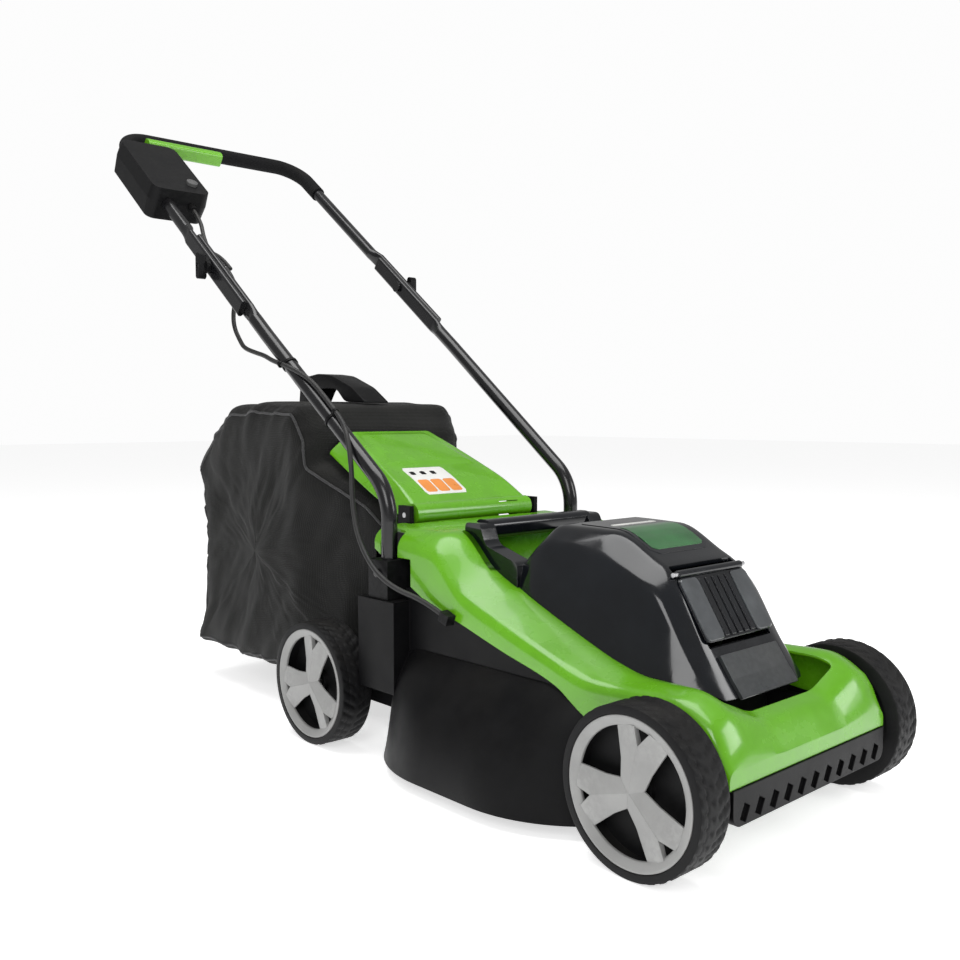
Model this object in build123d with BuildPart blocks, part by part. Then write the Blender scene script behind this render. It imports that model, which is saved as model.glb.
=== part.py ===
from build123d import *
import os
from math import atan2, cos, hypot, pi, radians, sin, tan

# Cordless walk-behind lawn mower with a rear grass bag.
# Millimetres, +Z up, front of the mower towards -Y, the operator's right hand towards -X.
# The origin is on the ground under the middle of the whole machine.

# ---- Driving sizes -------------------------------------------------------------------
FRONT_AXLE_Y = -540.0
REAR_AXLE_Y = -9.0
FRONT_WHEEL_RADIUS = 82.0
REAR_WHEEL_RADIUS = 80.0
WHEEL_INNER_X = 162.0
WHEEL_OUTER_X = 206.5
AXLE_RADIUS = 5.0
RUNNING_GAP = 0.08          # radial play of every turning fit

DECK_HALF_WIDTH = 222.0
DECK_FLOOR_Z = 15.0         # lower rim of the skirt above the ground
DECK_TOP_Z = 148.0
DECK_WALL = 4.0
BLADE_Y = -300.0
BLADE_RADIUS = 172.0
BLADE_Z = 40.0

TUBE_RADIUS = 10.0
TUBE_WALL = 1.5
HANDLE_HALF_WIDTH = 177.0
FOLD_Y = 279.0
FOLD_Z = 648.0
HANDLE_TOP_Y = 609.0
HANDLE_TOP_Z = 903.0
HANDLE_CORNER_RADIUS = 48.0
GRIP_RADIUS = 13.0

SHELL_WALL = 3.0
HINGE_Y = -97.0
HINGE_Z = 300.0

SIDES = ((-1, "right"), (1, "left"))
SLOPE = atan2(HANDLE_TOP_Z - FOLD_Z, HANDLE_TOP_Y - FOLD_Y)
HANDLE_LENGTH = hypot(HANDLE_TOP_Z - FOLD_Z, HANDLE_TOP_Y - FOLD_Y)


def hand_in(piece, name):
    """Label a finished piece and write its STEP file."""
    piece.label = name
    export_step(piece, f"parts/{name}.step")


def handle_point(x, along, out=0.0):
    """A point beside the handle: along it from the fold bolt, and out from its front face."""
    return (
        x,
        FOLD_Y + along * cos(SLOPE) - out * sin(SLOPE),
        FOLD_Z + along * sin(SLOPE) + out * cos(SLOPE),
    )


def handle_plane(along=0.0, out=0.0):
    """Plane lying in the handle: local x is X, local y runs up the handle."""
    return Plane(
        origin=handle_point(0, along, out),
        x_dir=(1, 0, 0),
        z_dir=(0, -sin(SLOPE), cos(SLOPE)),
    )


def cross_plane(along):
    """Plane square to the handle tubes: local x is X, local y points out of the front face."""
    return Plane(
        origin=handle_point(0, along),
        x_dir=(1, 0, 0),
        z_dir=(0, -cos(SLOPE), -sin(SLOPE)),
    )


def axle_plane(y, z):
    """Plane through a wheel axle: local x is X, local y is the height above the axle."""
    return Plane(origin=(0, y, z), x_dir=(1, 0, 0), z_dir=(0, -1, 0))


os.makedirs("parts", exist_ok=True)

# ---- Wheels --------------------------------------------------------------------------
HUB_RADIUS = 15.0
HUB_END_X = 190.0
COVER_SEAT_X = 199.0
RIM_DEPTH = 9.7             # from the tread to the edge of the wheel cover


def wheel_profile(radius, side):
    """Half section of a wheel from its bore to its tread."""
    cover_edge = radius - RIM_DEPTH
    ledge = cover_edge - 6
    bore = AXLE_RADIUS + RUNNING_GAP
    points = [
        (WHEEL_INNER_X, bore),
        (HUB_END_X, bore),
        (HUB_END_X, HUB_RADIUS),
        (184, HUB_RADIUS),
        (184, ledge),
        (COVER_SEAT_X, ledge),
        (COVER_SEAT_X, cover_edge + 0.2),
        (WHEEL_OUTER_X, cover_edge + 0.2),
        (WHEEL_OUTER_X, radius - 4),
        (WHEEL_OUTER_X - 4, radius),
        (WHEEL_INNER_X + 4, radius),
        (WHEEL_INNER_X, radius - 4),
        (WHEEL_INNER_X, ledge),
        (179, ledge),
        (179, HUB_RADIUS),
        (WHEEL_INNER_X, HUB_RADIUS),
    ]
    return [(side * x, r) for x, r in points]


def star_opening(radius, turn):
    """Corners of one of the three openings between the spokes of a wheel cover."""
    corners = ((13, 60), (21, 22), (radius - 9, 24), (radius - 7, 60), (radius - 9, 96), (21, 98))
    return [(r * cos(radians(a + turn)), r * sin(radians(a + turn))) for r, a in corners]


for end, axle_y, radius in (
    ("front", FRONT_AXLE_Y, FRONT_WHEEL_RADIUS),
    ("rear", REAR_AXLE_Y, REAR_WHEEL_RADIUS),
):
    for side, hand in SIDES:
        axle = Axis((0, axle_y, radius), (1, 0, 0))
        cover_edge = radius - RIM_DEPTH
        with BuildPart() as wheel:
            with BuildSketch(axle_plane(axle_y, radius)):
                Polygon(*wheel_profile(radius, side), align=None)
            revolve(axis=axle)
        hand_in(wheel.part, f"wheel_{end}_{hand}")

        seat_plane = Plane(origin=(side * COVER_SEAT_X, axle_y, radius), x_dir=(0, 1, 0), z_dir=(side, 0, 0))
        with BuildPart() as wheel_cover:
            with BuildSketch(seat_plane):
                Circle(cover_edge)
            extrude(amount=3.5)
            with BuildSketch(seat_plane.offset(3.5)):
                Circle(cover_edge)
                Circle(cover_edge - 7, mode=Mode.SUBTRACT)
            extrude(amount=3)
            with BuildSketch(seat_plane.offset(3.5)):
                Circle(18)
            extrude(amount=3.5, taper=20)
            with BuildSketch(seat_plane):
                for turn in (0, 120, 240):
                    Polygon(*star_opening(cover_edge, turn), align=None)
            extrude(amount=12, mode=Mode.SUBTRACT)
        hand_in(wheel_cover.part, f"wheel_cover_{end}_{hand}")

    with BuildPart() as axle_rod:
        with Locations(Location((0, axle_y, radius), (0, 90, 0))):
            Cylinder(AXLE_RADIUS, 2 * 196)
    hand_in(axle_rod.part, f"{end}_axle")

AXLES = ((FRONT_AXLE_Y, FRONT_WHEEL_RADIUS), (REAR_AXLE_Y, REAR_WHEEL_RADIUS))
with BuildPart() as axle_nuts:
    for axle_y, axle_z in AXLES:
        for side, hand in SIDES:
            with BuildSketch(Plane(origin=(side * 190.4, axle_y, axle_z), z_dir=(side, 0, 0))):
                RegularPolygon(9, 6)
                Circle(AXLE_RADIUS, mode=Mode.SUBTRACT)
            extrude(amount=5)
hand_in(axle_nuts.part, "axle_nuts")

with BuildPart() as axle_bushes:
    for axle_y, axle_z in AXLES:
        for side, hand in SIDES:
            with BuildSketch(Plane(origin=(side * 134, axle_y, axle_z), z_dir=(side, 0, 0))):
                Circle(9)
                Circle(AXLE_RADIUS, mode=Mode.SUBTRACT)
            extrude(amount=27.6)
hand_in(axle_bushes.part, "axle_bushes")

# ---- Deck ----------------------------------------------------------------------------
# Skirt sections: height, half width, front edge y, rear edge y, corner radius.
SKIRT_SECTIONS = (
    (DECK_FLOOR_Z, DECK_HALF_WIDTH, -498, -85, 160),
    (62, 217, -496, -88, 165),
    (112, 193, -488, -98, 125),
    (DECK_TOP_Z, 163, -476, -108, 92),
)
CHUTE_HALF_WIDTH = 110.0
CHUTE_FRONT_Y = -156.0
CHUTE_REAR_Y = -75.0
CHUTE_FLOOR_Z = 92.0
CHUTE_TOP_Z = 281.0
ARM_INNER_X = 138.0
ARM_OUTER_X = 146.0
EAR_INNER_X = 109.5
EAR_OUTER_X = 116.0
ROD_RADIUS = 3.5
PAD_TOP_Z = 204.0
SHAFT_RADIUS = 6.0


def skirt_sections(shrink=0.0):
    """The skirt's sections, each one smaller all round by the wall's thickness."""
    sections = []
    for height, half, front, rear, corner in SKIRT_SECTIONS:
        level = height
        if shrink and height == DECK_TOP_Z:
            level = height - shrink
        if shrink and height == DECK_FLOOR_Z:
            level = height - 2
        with BuildSketch(Plane.XY.offset(level)) as section:
            with Locations((0, (front + rear) / 2)):
                RectangleRounded(2 * (half - shrink), rear - front - 2 * shrink, corner - shrink)
        sections.append(section.sketch)
    return sections


with BuildPart() as skirt_block:
    loft(skirt_sections())

with BuildPart() as deck_housing:
    loft(skirt_sections())
    # raised lip that the top cover drops over
    with BuildSketch(Plane.XY.offset(DECK_TOP_Z - 12)):
        with Locations((0, -278)):
            RectangleRounded(2 * 161.5, 330, 24)
    extrude(amount=112)
    with BuildSketch(Plane.YZ.offset(-170)):
        Polygon((-460, 149), (-340, 178), (-212, 219), (-158, 219), (-158, PAD_TOP_Z),
                (-90, PAD_TOP_Z), (-90, 320), (-460, 320), align=None)
    extrude(amount=340, mode=Mode.SUBTRACT)
    # shoulders under the handle brackets
    for side, hand in SIDES:
        with Locations((side * 162, -129, (92 + PAD_TOP_Z) / 2)):
            Box(48, 72, PAD_TOP_Z - 92)
        with Locations((side * 162, -129, (88 + PAD_TOP_Z - DECK_WALL) / 2)):
            Box(40, 64, PAD_TOP_Z - DECK_WALL - 88, mode=Mode.SUBTRACT)
    # arms that carry the axles
    for side, hand in SIDES:
        arm_x = side * (ARM_INNER_X + ARM_OUTER_X) / 2
        with Locations((arm_x, -529.5, 82)):
            Box(ARM_OUTER_X - ARM_INNER_X, 149, 44)
        with Locations((arm_x, -50, 84)):
            Box(ARM_OUTER_X - ARM_INNER_X, 124, 52)
    # discharge chute
    with Locations((0, (CHUTE_FRONT_Y + CHUTE_REAR_Y) / 2 - 2, (CHUTE_FLOOR_Z + CHUTE_TOP_Z) / 2)):
        Box(
            2 * CHUTE_HALF_WIDTH + 8,
            CHUTE_REAR_Y - CHUTE_FRONT_Y + 4,
            CHUTE_TOP_Z - CHUTE_FLOOR_Z + 8,
        )
    # ears for the flap's hinge rod
    for side, hand in SIDES:
        with Locations((side * (EAR_INNER_X + EAR_OUTER_X) / 2, HINGE_Y, 284)):
            Box(EAR_OUTER_X - EAR_INNER_X, 24, 56)
    # hollow of the blade chamber
    loft(skirt_sections(DECK_WALL), mode=Mode.SUBTRACT)
    # space above the deck plate, inside the lip
    with BuildSketch(Plane.XY.offset(DECK_TOP_Z)):
        with Locations((0, -305)):
            Rectangle(2 * 158, 280)
    extrude(amount=150, mode=Mode.SUBTRACT)
    # hollow of the chute, open to the chamber and to the bag
    with Locations((0, (CHUTE_FRONT_Y + CHUTE_REAR_Y) / 2 + 1, (CHUTE_FLOOR_Z + CHUTE_TOP_Z) / 2)):
        Box(2 * CHUTE_HALF_WIDTH, CHUTE_REAR_Y - CHUTE_FRONT_Y + 2, CHUTE_TOP_Z - CHUTE_FLOOR_Z,
            mode=Mode.SUBTRACT)
    # bores: motor shaft, axle bushes, hinge rod
    with Locations((0, BLADE_Y, DECK_TOP_Z)):
        Cylinder(22, 30, mode=Mode.SUBTRACT)
    for axle_y, axle_z in AXLES:
        with Locations(Location((0, axle_y, axle_z), (0, 90, 0))):
            Cylinder(9, 2 * 150, mode=Mode.SUBTRACT)
    with Locations(Location((0, HINGE_Y, HINGE_Z), (0, 90, 0))):
        Cylinder(ROD_RADIUS, 2 * 120, mode=Mode.SUBTRACT)
hand_in(deck_housing.part, "deck_housing")

# ---- Top cover -----------------------------------------------------------------------
# Sections across the cover, front to rear: y, low edge z, side half width, shoulder z,
# crown half width, crown z, valley half width, valley z.
HOOD_SECTIONS = (
    (-100, 262, 165, 278, 150, 290, 60, 291),
    (-205, 207, 165, 268, 140, 288, 60, 290),
    (-262, 191, 165, 222, 122, 246, 60, 246),
    (-327, 172, 165, 198, 118, 218, 60, 216),
    (-410, 149, 165, 172, 117, 185, 60, 180),
    (-450, 122, 160, 160, 117, 171, 60, 165),
    (-482, 112, 152, 158, 118, 165, 60, 152),
    (-547, 105, 150, 160, 118, 167, 58, 140),
    (-590, 94, 150, 140, 120, 150, 60, 131),
    (-610, 88, 147, 104, 120, 112, 60, 104),
)


def hood_section(row, inset=0.0):
    """One section of the cover, or of its hollow when inset."""
    y, low, side_half, shoulder, crown_half, crown, valley_half, valley = row
    drop = 60 if inset else 0
    near_end = y
    if inset and y == HOOD_SECTIONS[0][0]:
        near_end = y + 5
    if inset and y == HOOD_SECTIONS[-1][0]:
        near_end = y + inset
    outline = (
        (side_half - inset, low - drop),
        (side_half - inset, shoulder - 0.6 * inset),
        (crown_half - 0.4 * inset, crown - inset),
        (valley_half, valley - inset),
    )
    with BuildSketch(Plane.XZ.offset(-near_end)) as section:
        Polygon(*outline, *[(-x, z) for x, z in reversed(outline)], align=None)
    return section.sketch


POCKET_HALF_WIDTH = 116.0
POCKET_FLOOR_Z = 246.0
with BuildPart() as hood_hollow:
    loft([hood_section(row, SHELL_WALL) for row in HOOD_SECTIONS], ruled=True)
    with Locations((0, -253, POCKET_FLOOR_Z + 50 - SHELL_WALL)):
        Box(2 * (POCKET_HALF_WIDTH + SHELL_WALL), 102, 100, mode=Mode.SUBTRACT)

with BuildPart() as hood_block:
    loft([hood_section(row) for row in HOOD_SECTIONS], ruled=True)
    # pocket behind the motor housing, where fingers reach round the carry handle
    with Locations((0, -252.5, POCKET_FLOOR_Z + 50)):
        Box(2 * POCKET_HALF_WIDTH, 97, 100, mode=Mode.SUBTRACT)

with BuildPart() as top_cover:
    add(hood_block.part)
    add(hood_hollow.part, mode=Mode.SUBTRACT)
    # opening that the motor housing stands in
    with Locations((0, -440, 200)):
        Box(2 * 106, 264, 200, mode=Mode.SUBTRACT)
    # cut-outs for the flap's hinge and the handle brackets
    with Locations((0, -97, 280)):
        Box(2 * 117.5, 34, 100, mode=Mode.SUBTRACT)
    with Locations((0, -110, 230)):
        Box(2 * 119, 98, 114, mode=Mode.SUBTRACT)
    for side, hand in SIDES:
        with Locations((side * 166, -130, 220)):
            Box(60, 82, 70, mode=Mode.SUBTRACT)
        with Locations((side * 170, -129, 280)):
            Box(42, 34, 80, mode=Mode.SUBTRACT)
    add(skirt_block.part, mode=Mode.SUBTRACT)
    add(deck_housing.part, mode=Mode.SUBTRACT)
hand_in(top_cover.part, "top_cover")

# ---- Front grille --------------------------------------------------------------------
GRILLE_FRONT_Y = -612.0
with BuildPart() as front_grille:
    with Locations((0, GRILLE_FRONT_Y + 4, 70)):
        Box(2 * 144, 8, 35)
    with Locations((0, GRILLE_FRONT_Y, 64)):
        with GridLocations(25, 1, 11, 1):
            Box(11, 8, 16, rotation=(0, 28, 0), mode=Mode.SUBTRACT)
    fillet(front_grille.edges().filter_by(Axis.Y).group_by(Axis.X)[0].sort_by(Axis.Z)[:1], 12)
    fillet(front_grille.edges().filter_by(Axis.Y).group_by(Axis.X)[-1].sort_by(Axis.Z)[:1], 12)
hand_in(front_grille.part, "front_grille")

# ---- Motor and battery housing -------------------------------------------------------
# Sections of the body, rear to front: y, base z, crease half width and z, top half width and z.
BODY_SECTIONS = (
    (-292, 190, 98, 256, 72, 262),
    (-330, 180, 96, 284, 70, 303),
    (-398, 160, 91, 277, 66, 302),
    (-455, 140, 88, 257, 62, 276),
    (-477, 130, 87, 244, 62, 263),
    (-523, 122, 82, 180, 60, 192),
    (-545, 122, 78, 154, 58, 160),
    (-562, 122, 72, 134, 56, 138),
)
LID_TOP_Y = -480.0
LID_TOP_Z = 260.0
LID_FOOT_Y = -523.0
LID_FOOT_Z = 192.0
LID_TILT = atan2(LID_TOP_Z - LID_FOOT_Z, LID_TOP_Y - LID_FOOT_Y)
PIN_Y = -482.5
PIN_Z = 261.6
PIN_RADIUS = 2.5
BAY_HALF_WIDTH = 57.0


def body_section(row, inset=0.0):
    """One section of the motor housing, or of its hollow when inset."""
    y, base, crease_half, crease, top_half, top = row
    base_half = 114 - inset
    if y < -530:
        base_half = 100 - inset
    place = y
    if inset:
        place = y - inset if y == BODY_SECTIONS[0][0] else y + (inset if y <= -455 else 0)
    outline = (
        (base_half, base - (60 if inset else 0)),
        (crease_half - inset, crease - 0.7 * inset),
        (top_half - 0.5 * inset, top - inset),
    )
    with BuildSketch(Plane.XZ.offset(-place)) as section:
        Polygon(*outline, *[(-x, z) for x, z in reversed(outline)], align=None)
    return section.sketch


with BuildPart() as battery_housing:
    loft([body_section(row) for row in BODY_SECTIONS], ruled=True)
    # side ridges and the carry handle behind the body
    for side, hand in SIDES:
        with BuildSketch(Plane.YZ.offset(side * 96 - 12)):
            Polygon((-206, 232), (-206, 299), (-232, 299), (-242, 274), (-296, 258), (-296, 215),
                    (-250, 215), align=None)
        extrude(amount=24)
    with BuildSketch(Plane.YZ.offset(-86)):
        with Locations((-219, 290)):
            RectangleRounded(26, 24, 9)
    extrude(amount=172)
    loft([body_section(row, SHELL_WALL) for row in BODY_SECTIONS], ruled=True, mode=Mode.SUBTRACT)
    # mouth of the battery bay
    with Locations((0, -502, 240)):
        Box(2 * BAY_HALF_WIDTH, 66, 100, mode=Mode.SUBTRACT)
    # knuckles that hold the lid's pins
    for side, hand in SIDES:
        with Locations(Location((side * 61.5, PIN_Y, PIN_Z), (0, 90, 0))):
            Cylinder(5, 7.5)
    with Locations(Location((0, PIN_Y, PIN_Z), (0, 90, 0))):
        Cylinder(PIN_RADIUS, 2 * 65, mode=Mode.SUBTRACT)
    # the housing stands on the top cover
    with Locations((0, 0, 0.15)):
        add(hood_block.part, mode=Mode.SUBTRACT)
    with Locations((0, -330, 120)):
        Box(2 * 130, 560, 50, mode=Mode.SUBTRACT)
hand_in(battery_housing.part, "battery_housing")

# ---- Battery bay: tray, lid, pins, pack and key ----------------------------------------
TRAY_FLOOR_Z = 192.0
PACK_REAR_Y = -386.0
PACK_X = -13.0
PACK_HALF_WIDTH = 37.0
KEY_X = 42.0
KEY_Z = 220.0

with BuildPart() as battery_tray:
    with Locations((0, -426, TRAY_FLOOR_Z - 2)):
        Box(2 * 56, 96, 4)
    for post_y in (-396, -460):
        with GridLocations(96, 1, 2, 1):
            with Locations((0, post_y, (DECK_TOP_Z + TRAY_FLOOR_Z - 4) / 2)):
                Box(10, 10, TRAY_FLOOR_Z - 4 - DECK_TOP_Z)
    with Locations((PACK_X, PACK_REAR_Y + 6, TRAY_FLOOR_Z + 30)):
        Box(60, 4, 60)
hand_in(battery_tray.part, "battery_tray")

with BuildPart() as battery_terminals:
    with Locations((PACK_X, PACK_REAR_Y + 3, TRAY_FLOOR_Z + 22)):
        Box(44, 2, 30)
hand_in(battery_terminals.part, "battery_terminals")

with BuildPart() as battery_pack:
    with BuildSketch(Plane.YZ.offset(PACK_X - PACK_HALF_WIDTH)):
        Polygon((PACK_REAR_Y, TRAY_FLOOR_Z), (-511, TRAY_FLOOR_Z), (-513, 198), (-484, 247),
                (-466, 250), (PACK_REAR_Y, 250), align=None)
    extrude(amount=2 * PACK_HALF_WIDTH)
    with Locations((PACK_X, -502, 228)):
        Box(44, 20, 10, rotation=(-32, 0, 0), mode=Mode.SUBTRACT)
hand_in(battery_pack.part, "battery_pack")

with BuildPart() as key_socket:
    with Locations((KEY_X, -440, TRAY_FLOOR_Z + 19)):
        Box(22, 30, 38)
    with Locations((KEY_X, -450, KEY_Z)):
        Box(12.3, 30, 6.3, mode=Mode.SUBTRACT)
hand_in(key_socket.part, "key_socket")

with BuildPart() as safety_key:
    with Locations((KEY_X, -458, KEY_Z)):
        Box(12, 34, 6)
    with Locations((KEY_X, -480, KEY_Z)):
        Box(17, 12, 24)
hand_in(safety_key.part, "safety_key")

with BuildPart() as lid_pins:
    for side, hand in SIDES:
        with Locations(Location((side * 59, PIN_Y, PIN_Z), (0, 90, 0))):
            Cylinder(PIN_RADIUS, 12)
hand_in(lid_pins.part, "lid_pins")

LID_LENGTH = hypot(LID_TOP_Z - LID_FOOT_Z, LID_TOP_Y - LID_FOOT_Y)
lid_plane = Plane(
    origin=(0, LID_TOP_Y, LID_TOP_Z),
    x_dir=(1, 0, 0),
    z_dir=(0, -sin(LID_TILT), cos(LID_TILT)),
)
with BuildPart() as battery_lid:
    with BuildSketch(lid_plane.offset(1.6)):
        with Locations((0, -(LID_LENGTH + 2) / 2)):
            RectangleRounded(2 * 61, LID_LENGTH - 10, 8)
        with Locations((0, -6)):
            Rectangle(2 * 50, 10)
    extrude(amount=3)
    with Locations(Location((0, PIN_Y, PIN_Z), (0, 90, 0))):
        Cylinder(4.5, 2 * 57)
        Cylinder(PIN_RADIUS + RUNNING_GAP, 2 * 60, mode=Mode.SUBTRACT)
hand_in(battery_lid.part, "battery_lid")

# ---- Motor, rotor and blade --------------------------------------------------------------
CAN_RADIUS = 50.0
CAN_HEIGHT = 66.0
ROTOR_RADIUS = 38.0
with BuildPart() as motor_can:
    with BuildSketch(Plane.XY.offset(DECK_TOP_Z)):
        with Locations((0, BLADE_Y)):
            Circle(CAN_RADIUS)
            Circle(CAN_RADIUS - 3, mode=Mode.SUBTRACT)
    extrude(amount=CAN_HEIGHT)
    with BuildSketch(Plane.XY.offset(DECK_TOP_Z)):
        with Locations((0, BLADE_Y)):
            Circle(CAN_RADIUS + 12)
            Circle(11, mode=Mode.SUBTRACT)
    extrude(amount=4)
    with BuildSketch(Plane.XY.offset(DECK_TOP_Z + CAN_HEIGHT - 4)):
        with Locations((0, BLADE_Y)):
            Circle(CAN_RADIUS)
            Circle(9, mode=Mode.SUBTRACT)
    extrude(amount=4)
hand_in(motor_can.part, "motor_can")

with BuildPart() as motor_stator:
    with BuildSketch(Plane.XY.offset(DECK_TOP_Z + 14)):
        with Locations((0, BLADE_Y)):
            Circle(CAN_RADIUS - 3)
            Circle(ROTOR_RADIUS + 1, mode=Mode.SUBTRACT)
    extrude(amount=36)
hand_in(motor_stator.part, "motor_stator")

with BuildPart() as motor_bearings:
    with BuildSketch(Plane.XY.offset(DECK_TOP_Z - 4)):
        with Locations((0, BLADE_Y)):
            Circle(11)
            Circle(SHAFT_RADIUS + RUNNING_GAP, mode=Mode.SUBTRACT)
    extrude(amount=8)
    with BuildSketch(Plane.XY.offset(DECK_TOP_Z + CAN_HEIGHT - 6)):
        with Locations((0, BLADE_Y)):
            Circle(9)
            Circle(SHAFT_RADIUS + RUNNING_GAP, mode=Mode.SUBTRACT)
    extrude(amount=6)
hand_in(motor_bearings.part, "motor_bearings")

with BuildPart() as rotor_shaft:
    with Locations((0, BLADE_Y, (32 + 213) / 2)):
        Cylinder(SHAFT_RADIUS, 213 - 32)
hand_in(rotor_shaft.part, "rotor_shaft")

with BuildPart() as rotor_core:
    with BuildSketch(Plane.XY.offset(DECK_TOP_Z + 16)):
        with Locations((0, BLADE_Y)):
            Circle(ROTOR_RADIUS)
            Circle(SHAFT_RADIUS, mode=Mode.SUBTRACT)
    extrude(amount=32)
hand_in(rotor_core.part, "rotor_core")

with BuildPart() as blade_holder:
    with BuildSketch(Plane.XY.offset(BLADE_Z + 3)):
        with Locations((0, BLADE_Y)):
            Circle(34)
            Circle(SHAFT_RADIUS, mode=Mode.SUBTRACT)
    extrude(amount=5)
    with BuildSketch(Plane.XY.offset(BLADE_Z + 8)):
        with Locations((0, BLADE_Y)):
            Circle(14)
            Circle(SHAFT_RADIUS, mode=Mode.SUBTRACT)
    extrude(amount=40)
hand_in(blade_holder.part, "blade_holder")

with BuildPart() as blade:
    with BuildSketch(Plane.XY.offset(BLADE_Z)):
        with Locations((0, BLADE_Y)):
            SlotOverall(2 * BLADE_RADIUS, 44)
            Circle(SHAFT_RADIUS, mode=Mode.SUBTRACT)
    extrude(amount=3)
    # raised wings that lift the clippings into the chute
    for turn in (0, 180):
        wing_x = 132 * cos(radians(turn))
        wing_y = BLADE_Y - 18 * cos(radians(turn))
        with Locations((wing_x, wing_y, BLADE_Z + 6)):
            Box(50, 4, 12)
hand_in(blade.part, "blade")

with BuildPart() as blade_washer:
    with BuildSketch(Plane.XY.offset(BLADE_Z - 3)):
        with Locations((0, BLADE_Y)):
            Circle(16)
            Circle(SHAFT_RADIUS, mode=Mode.SUBTRACT)
    extrude(amount=3)
hand_in(blade_washer.part, "blade_washer")

with BuildPart() as blade_nut:
    with BuildSketch(Plane.XY.offset(BLADE_Z - 10)):
        with Locations((0, BLADE_Y)):
            RegularPolygon(10, 6)
            Circle(SHAFT_RADIUS, mode=Mode.SUBTRACT)
    extrude(amount=7)
hand_in(blade_nut.part, "blade_nut")

with BuildPart() as controller:
    with Locations((0, -212, DECK_TOP_Z + 12)):
        Box(110, 44, 24)
    with Locations((0, -212, DECK_TOP_Z + 25)):
        with GridLocations(12, 1, 8, 1):
            Box(3, 36, 6)
hand_in(controller.part, "controller")

# ---- Handle: brackets, lower tubes -------------------------------------------------------
BEND_Y = -129.0
LOWER_X = 164.0
FLAT_THICK = 9.2
FLAT_WIDTH = 25.0
FLAT_GAP = 0.2
FLAT_LOW = -112.0
FLAT_HIGH = 82.0
BOLT_RADIUS = 4.0
TUBE_FOOT_Z = 214.0


bend_z = FOLD_Z - (FOLD_Y - BEND_Y) * tan(SLOPE)
for side, hand in SIDES:
    foot = (side * LOWER_X, BEND_Y, TUBE_FOOT_Z)
    knee = (side * LOWER_X, BEND_Y, bend_z)
    flat_x = HANDLE_HALF_WIDTH - FLAT_GAP - FLAT_THICK / 2
    tube_straight = handle_point(side * flat_x, FLAT_LOW - 68)
    tube_top = handle_point(side * flat_x, FLAT_LOW - 26)
    with BuildPart() as lower_tube:
        with BuildLine():
            FilletPolyline(foot, knee, tube_straight, tube_top, radius=70)
        with BuildSketch(Plane(origin=foot, z_dir=(0, 0, 1))):
            Circle(TUBE_RADIUS)
            Circle(TUBE_RADIUS - TUBE_WALL, mode=Mode.SUBTRACT)
        sweep()
        with BuildSketch(cross_plane(FLAT_LOW - 26)):
            with Locations((side * flat_x, 0)):
                Circle(TUBE_RADIUS)
        with BuildSketch(cross_plane(FLAT_LOW - 4)):
            with Locations((side * flat_x, 0)):
                RectangleRounded(FLAT_THICK, FLAT_WIDTH, 4.5)
        loft()
        with BuildSketch(cross_plane(FLAT_LOW - 4)):
            with Locations((side * flat_x, 0)):
                RectangleRounded(FLAT_THICK, FLAT_WIDTH, 4.5)
        extrude(amount=-(FLAT_HIGH - 6 - FLAT_LOW + 4))
        with Locations(Location((side * flat_x, FOLD_Y, FOLD_Z), (0, 90, 0))):
            Cylinder(BOLT_RADIUS, 30, mode=Mode.SUBTRACT)
    hand_in(lower_tube.part, f"lower_tube_{hand}")

    knob_start = HANDLE_HALF_WIDTH + FLAT_GAP + FLAT_THICK + 0.4
    knob_plane = Plane(origin=(side * knob_start, FOLD_Y, FOLD_Z), x_dir=(0, 0, 1), z_dir=(side, 0, 0))
    with BuildPart() as fold_knob:
        with BuildSketch(knob_plane):
            Circle(10)
        extrude(amount=7)
        with BuildSketch(knob_plane.offset(6)):
            SlotOverall(38, 11)
        extrude(amount=12)
        with Locations(Location((side * 200, FOLD_Y, FOLD_Z), (0, 90, 0))):
            Cylinder(BOLT_RADIUS + RUNNING_GAP, 60, mode=Mode.SUBTRACT)
    hand_in(fold_knob.part, f"fold_knob_{hand}")

with BuildPart() as handle_brackets:
    for side, hand in SIDES:
        with Locations((side * LOWER_X, BEND_Y, 228)):
            Box(36, 38, 48)
        with Locations((side * LOWER_X, BEND_Y, TUBE_FOOT_Z + 50)):
            Cylinder(TUBE_RADIUS, 100, mode=Mode.SUBTRACT)
hand_in(handle_brackets.part, "handle_brackets")

with BuildPart() as tube_screws:
    for side, hand in SIDES:
        with Locations(Location((side * (LOWER_X + 19.5), BEND_Y, 236), (0, 90, 0))):
            Cylinder(5, 3)
hand_in(tube_screws.part, "tube_screws")

LOWER_FLAT_X = HANDLE_HALF_WIDTH - FLAT_GAP - FLAT_THICK / 2
with BuildPart() as fold_bolts:
    for side, hand in SIDES:
        head_x = side * (LOWER_FLAT_X - FLAT_THICK / 2)
        with BuildSketch(Plane(origin=(head_x, FOLD_Y, FOLD_Z), z_dir=(side, 0, 0))):
            Circle(BOLT_RADIUS)
        extrude(amount=36)
        with BuildSketch(Plane(origin=(head_x, FOLD_Y, FOLD_Z), z_dir=(-side, 0, 0))):
            Circle(9)
        extrude(amount=4)
hand_in(fold_bolts.part, "fold_bolts")

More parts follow.
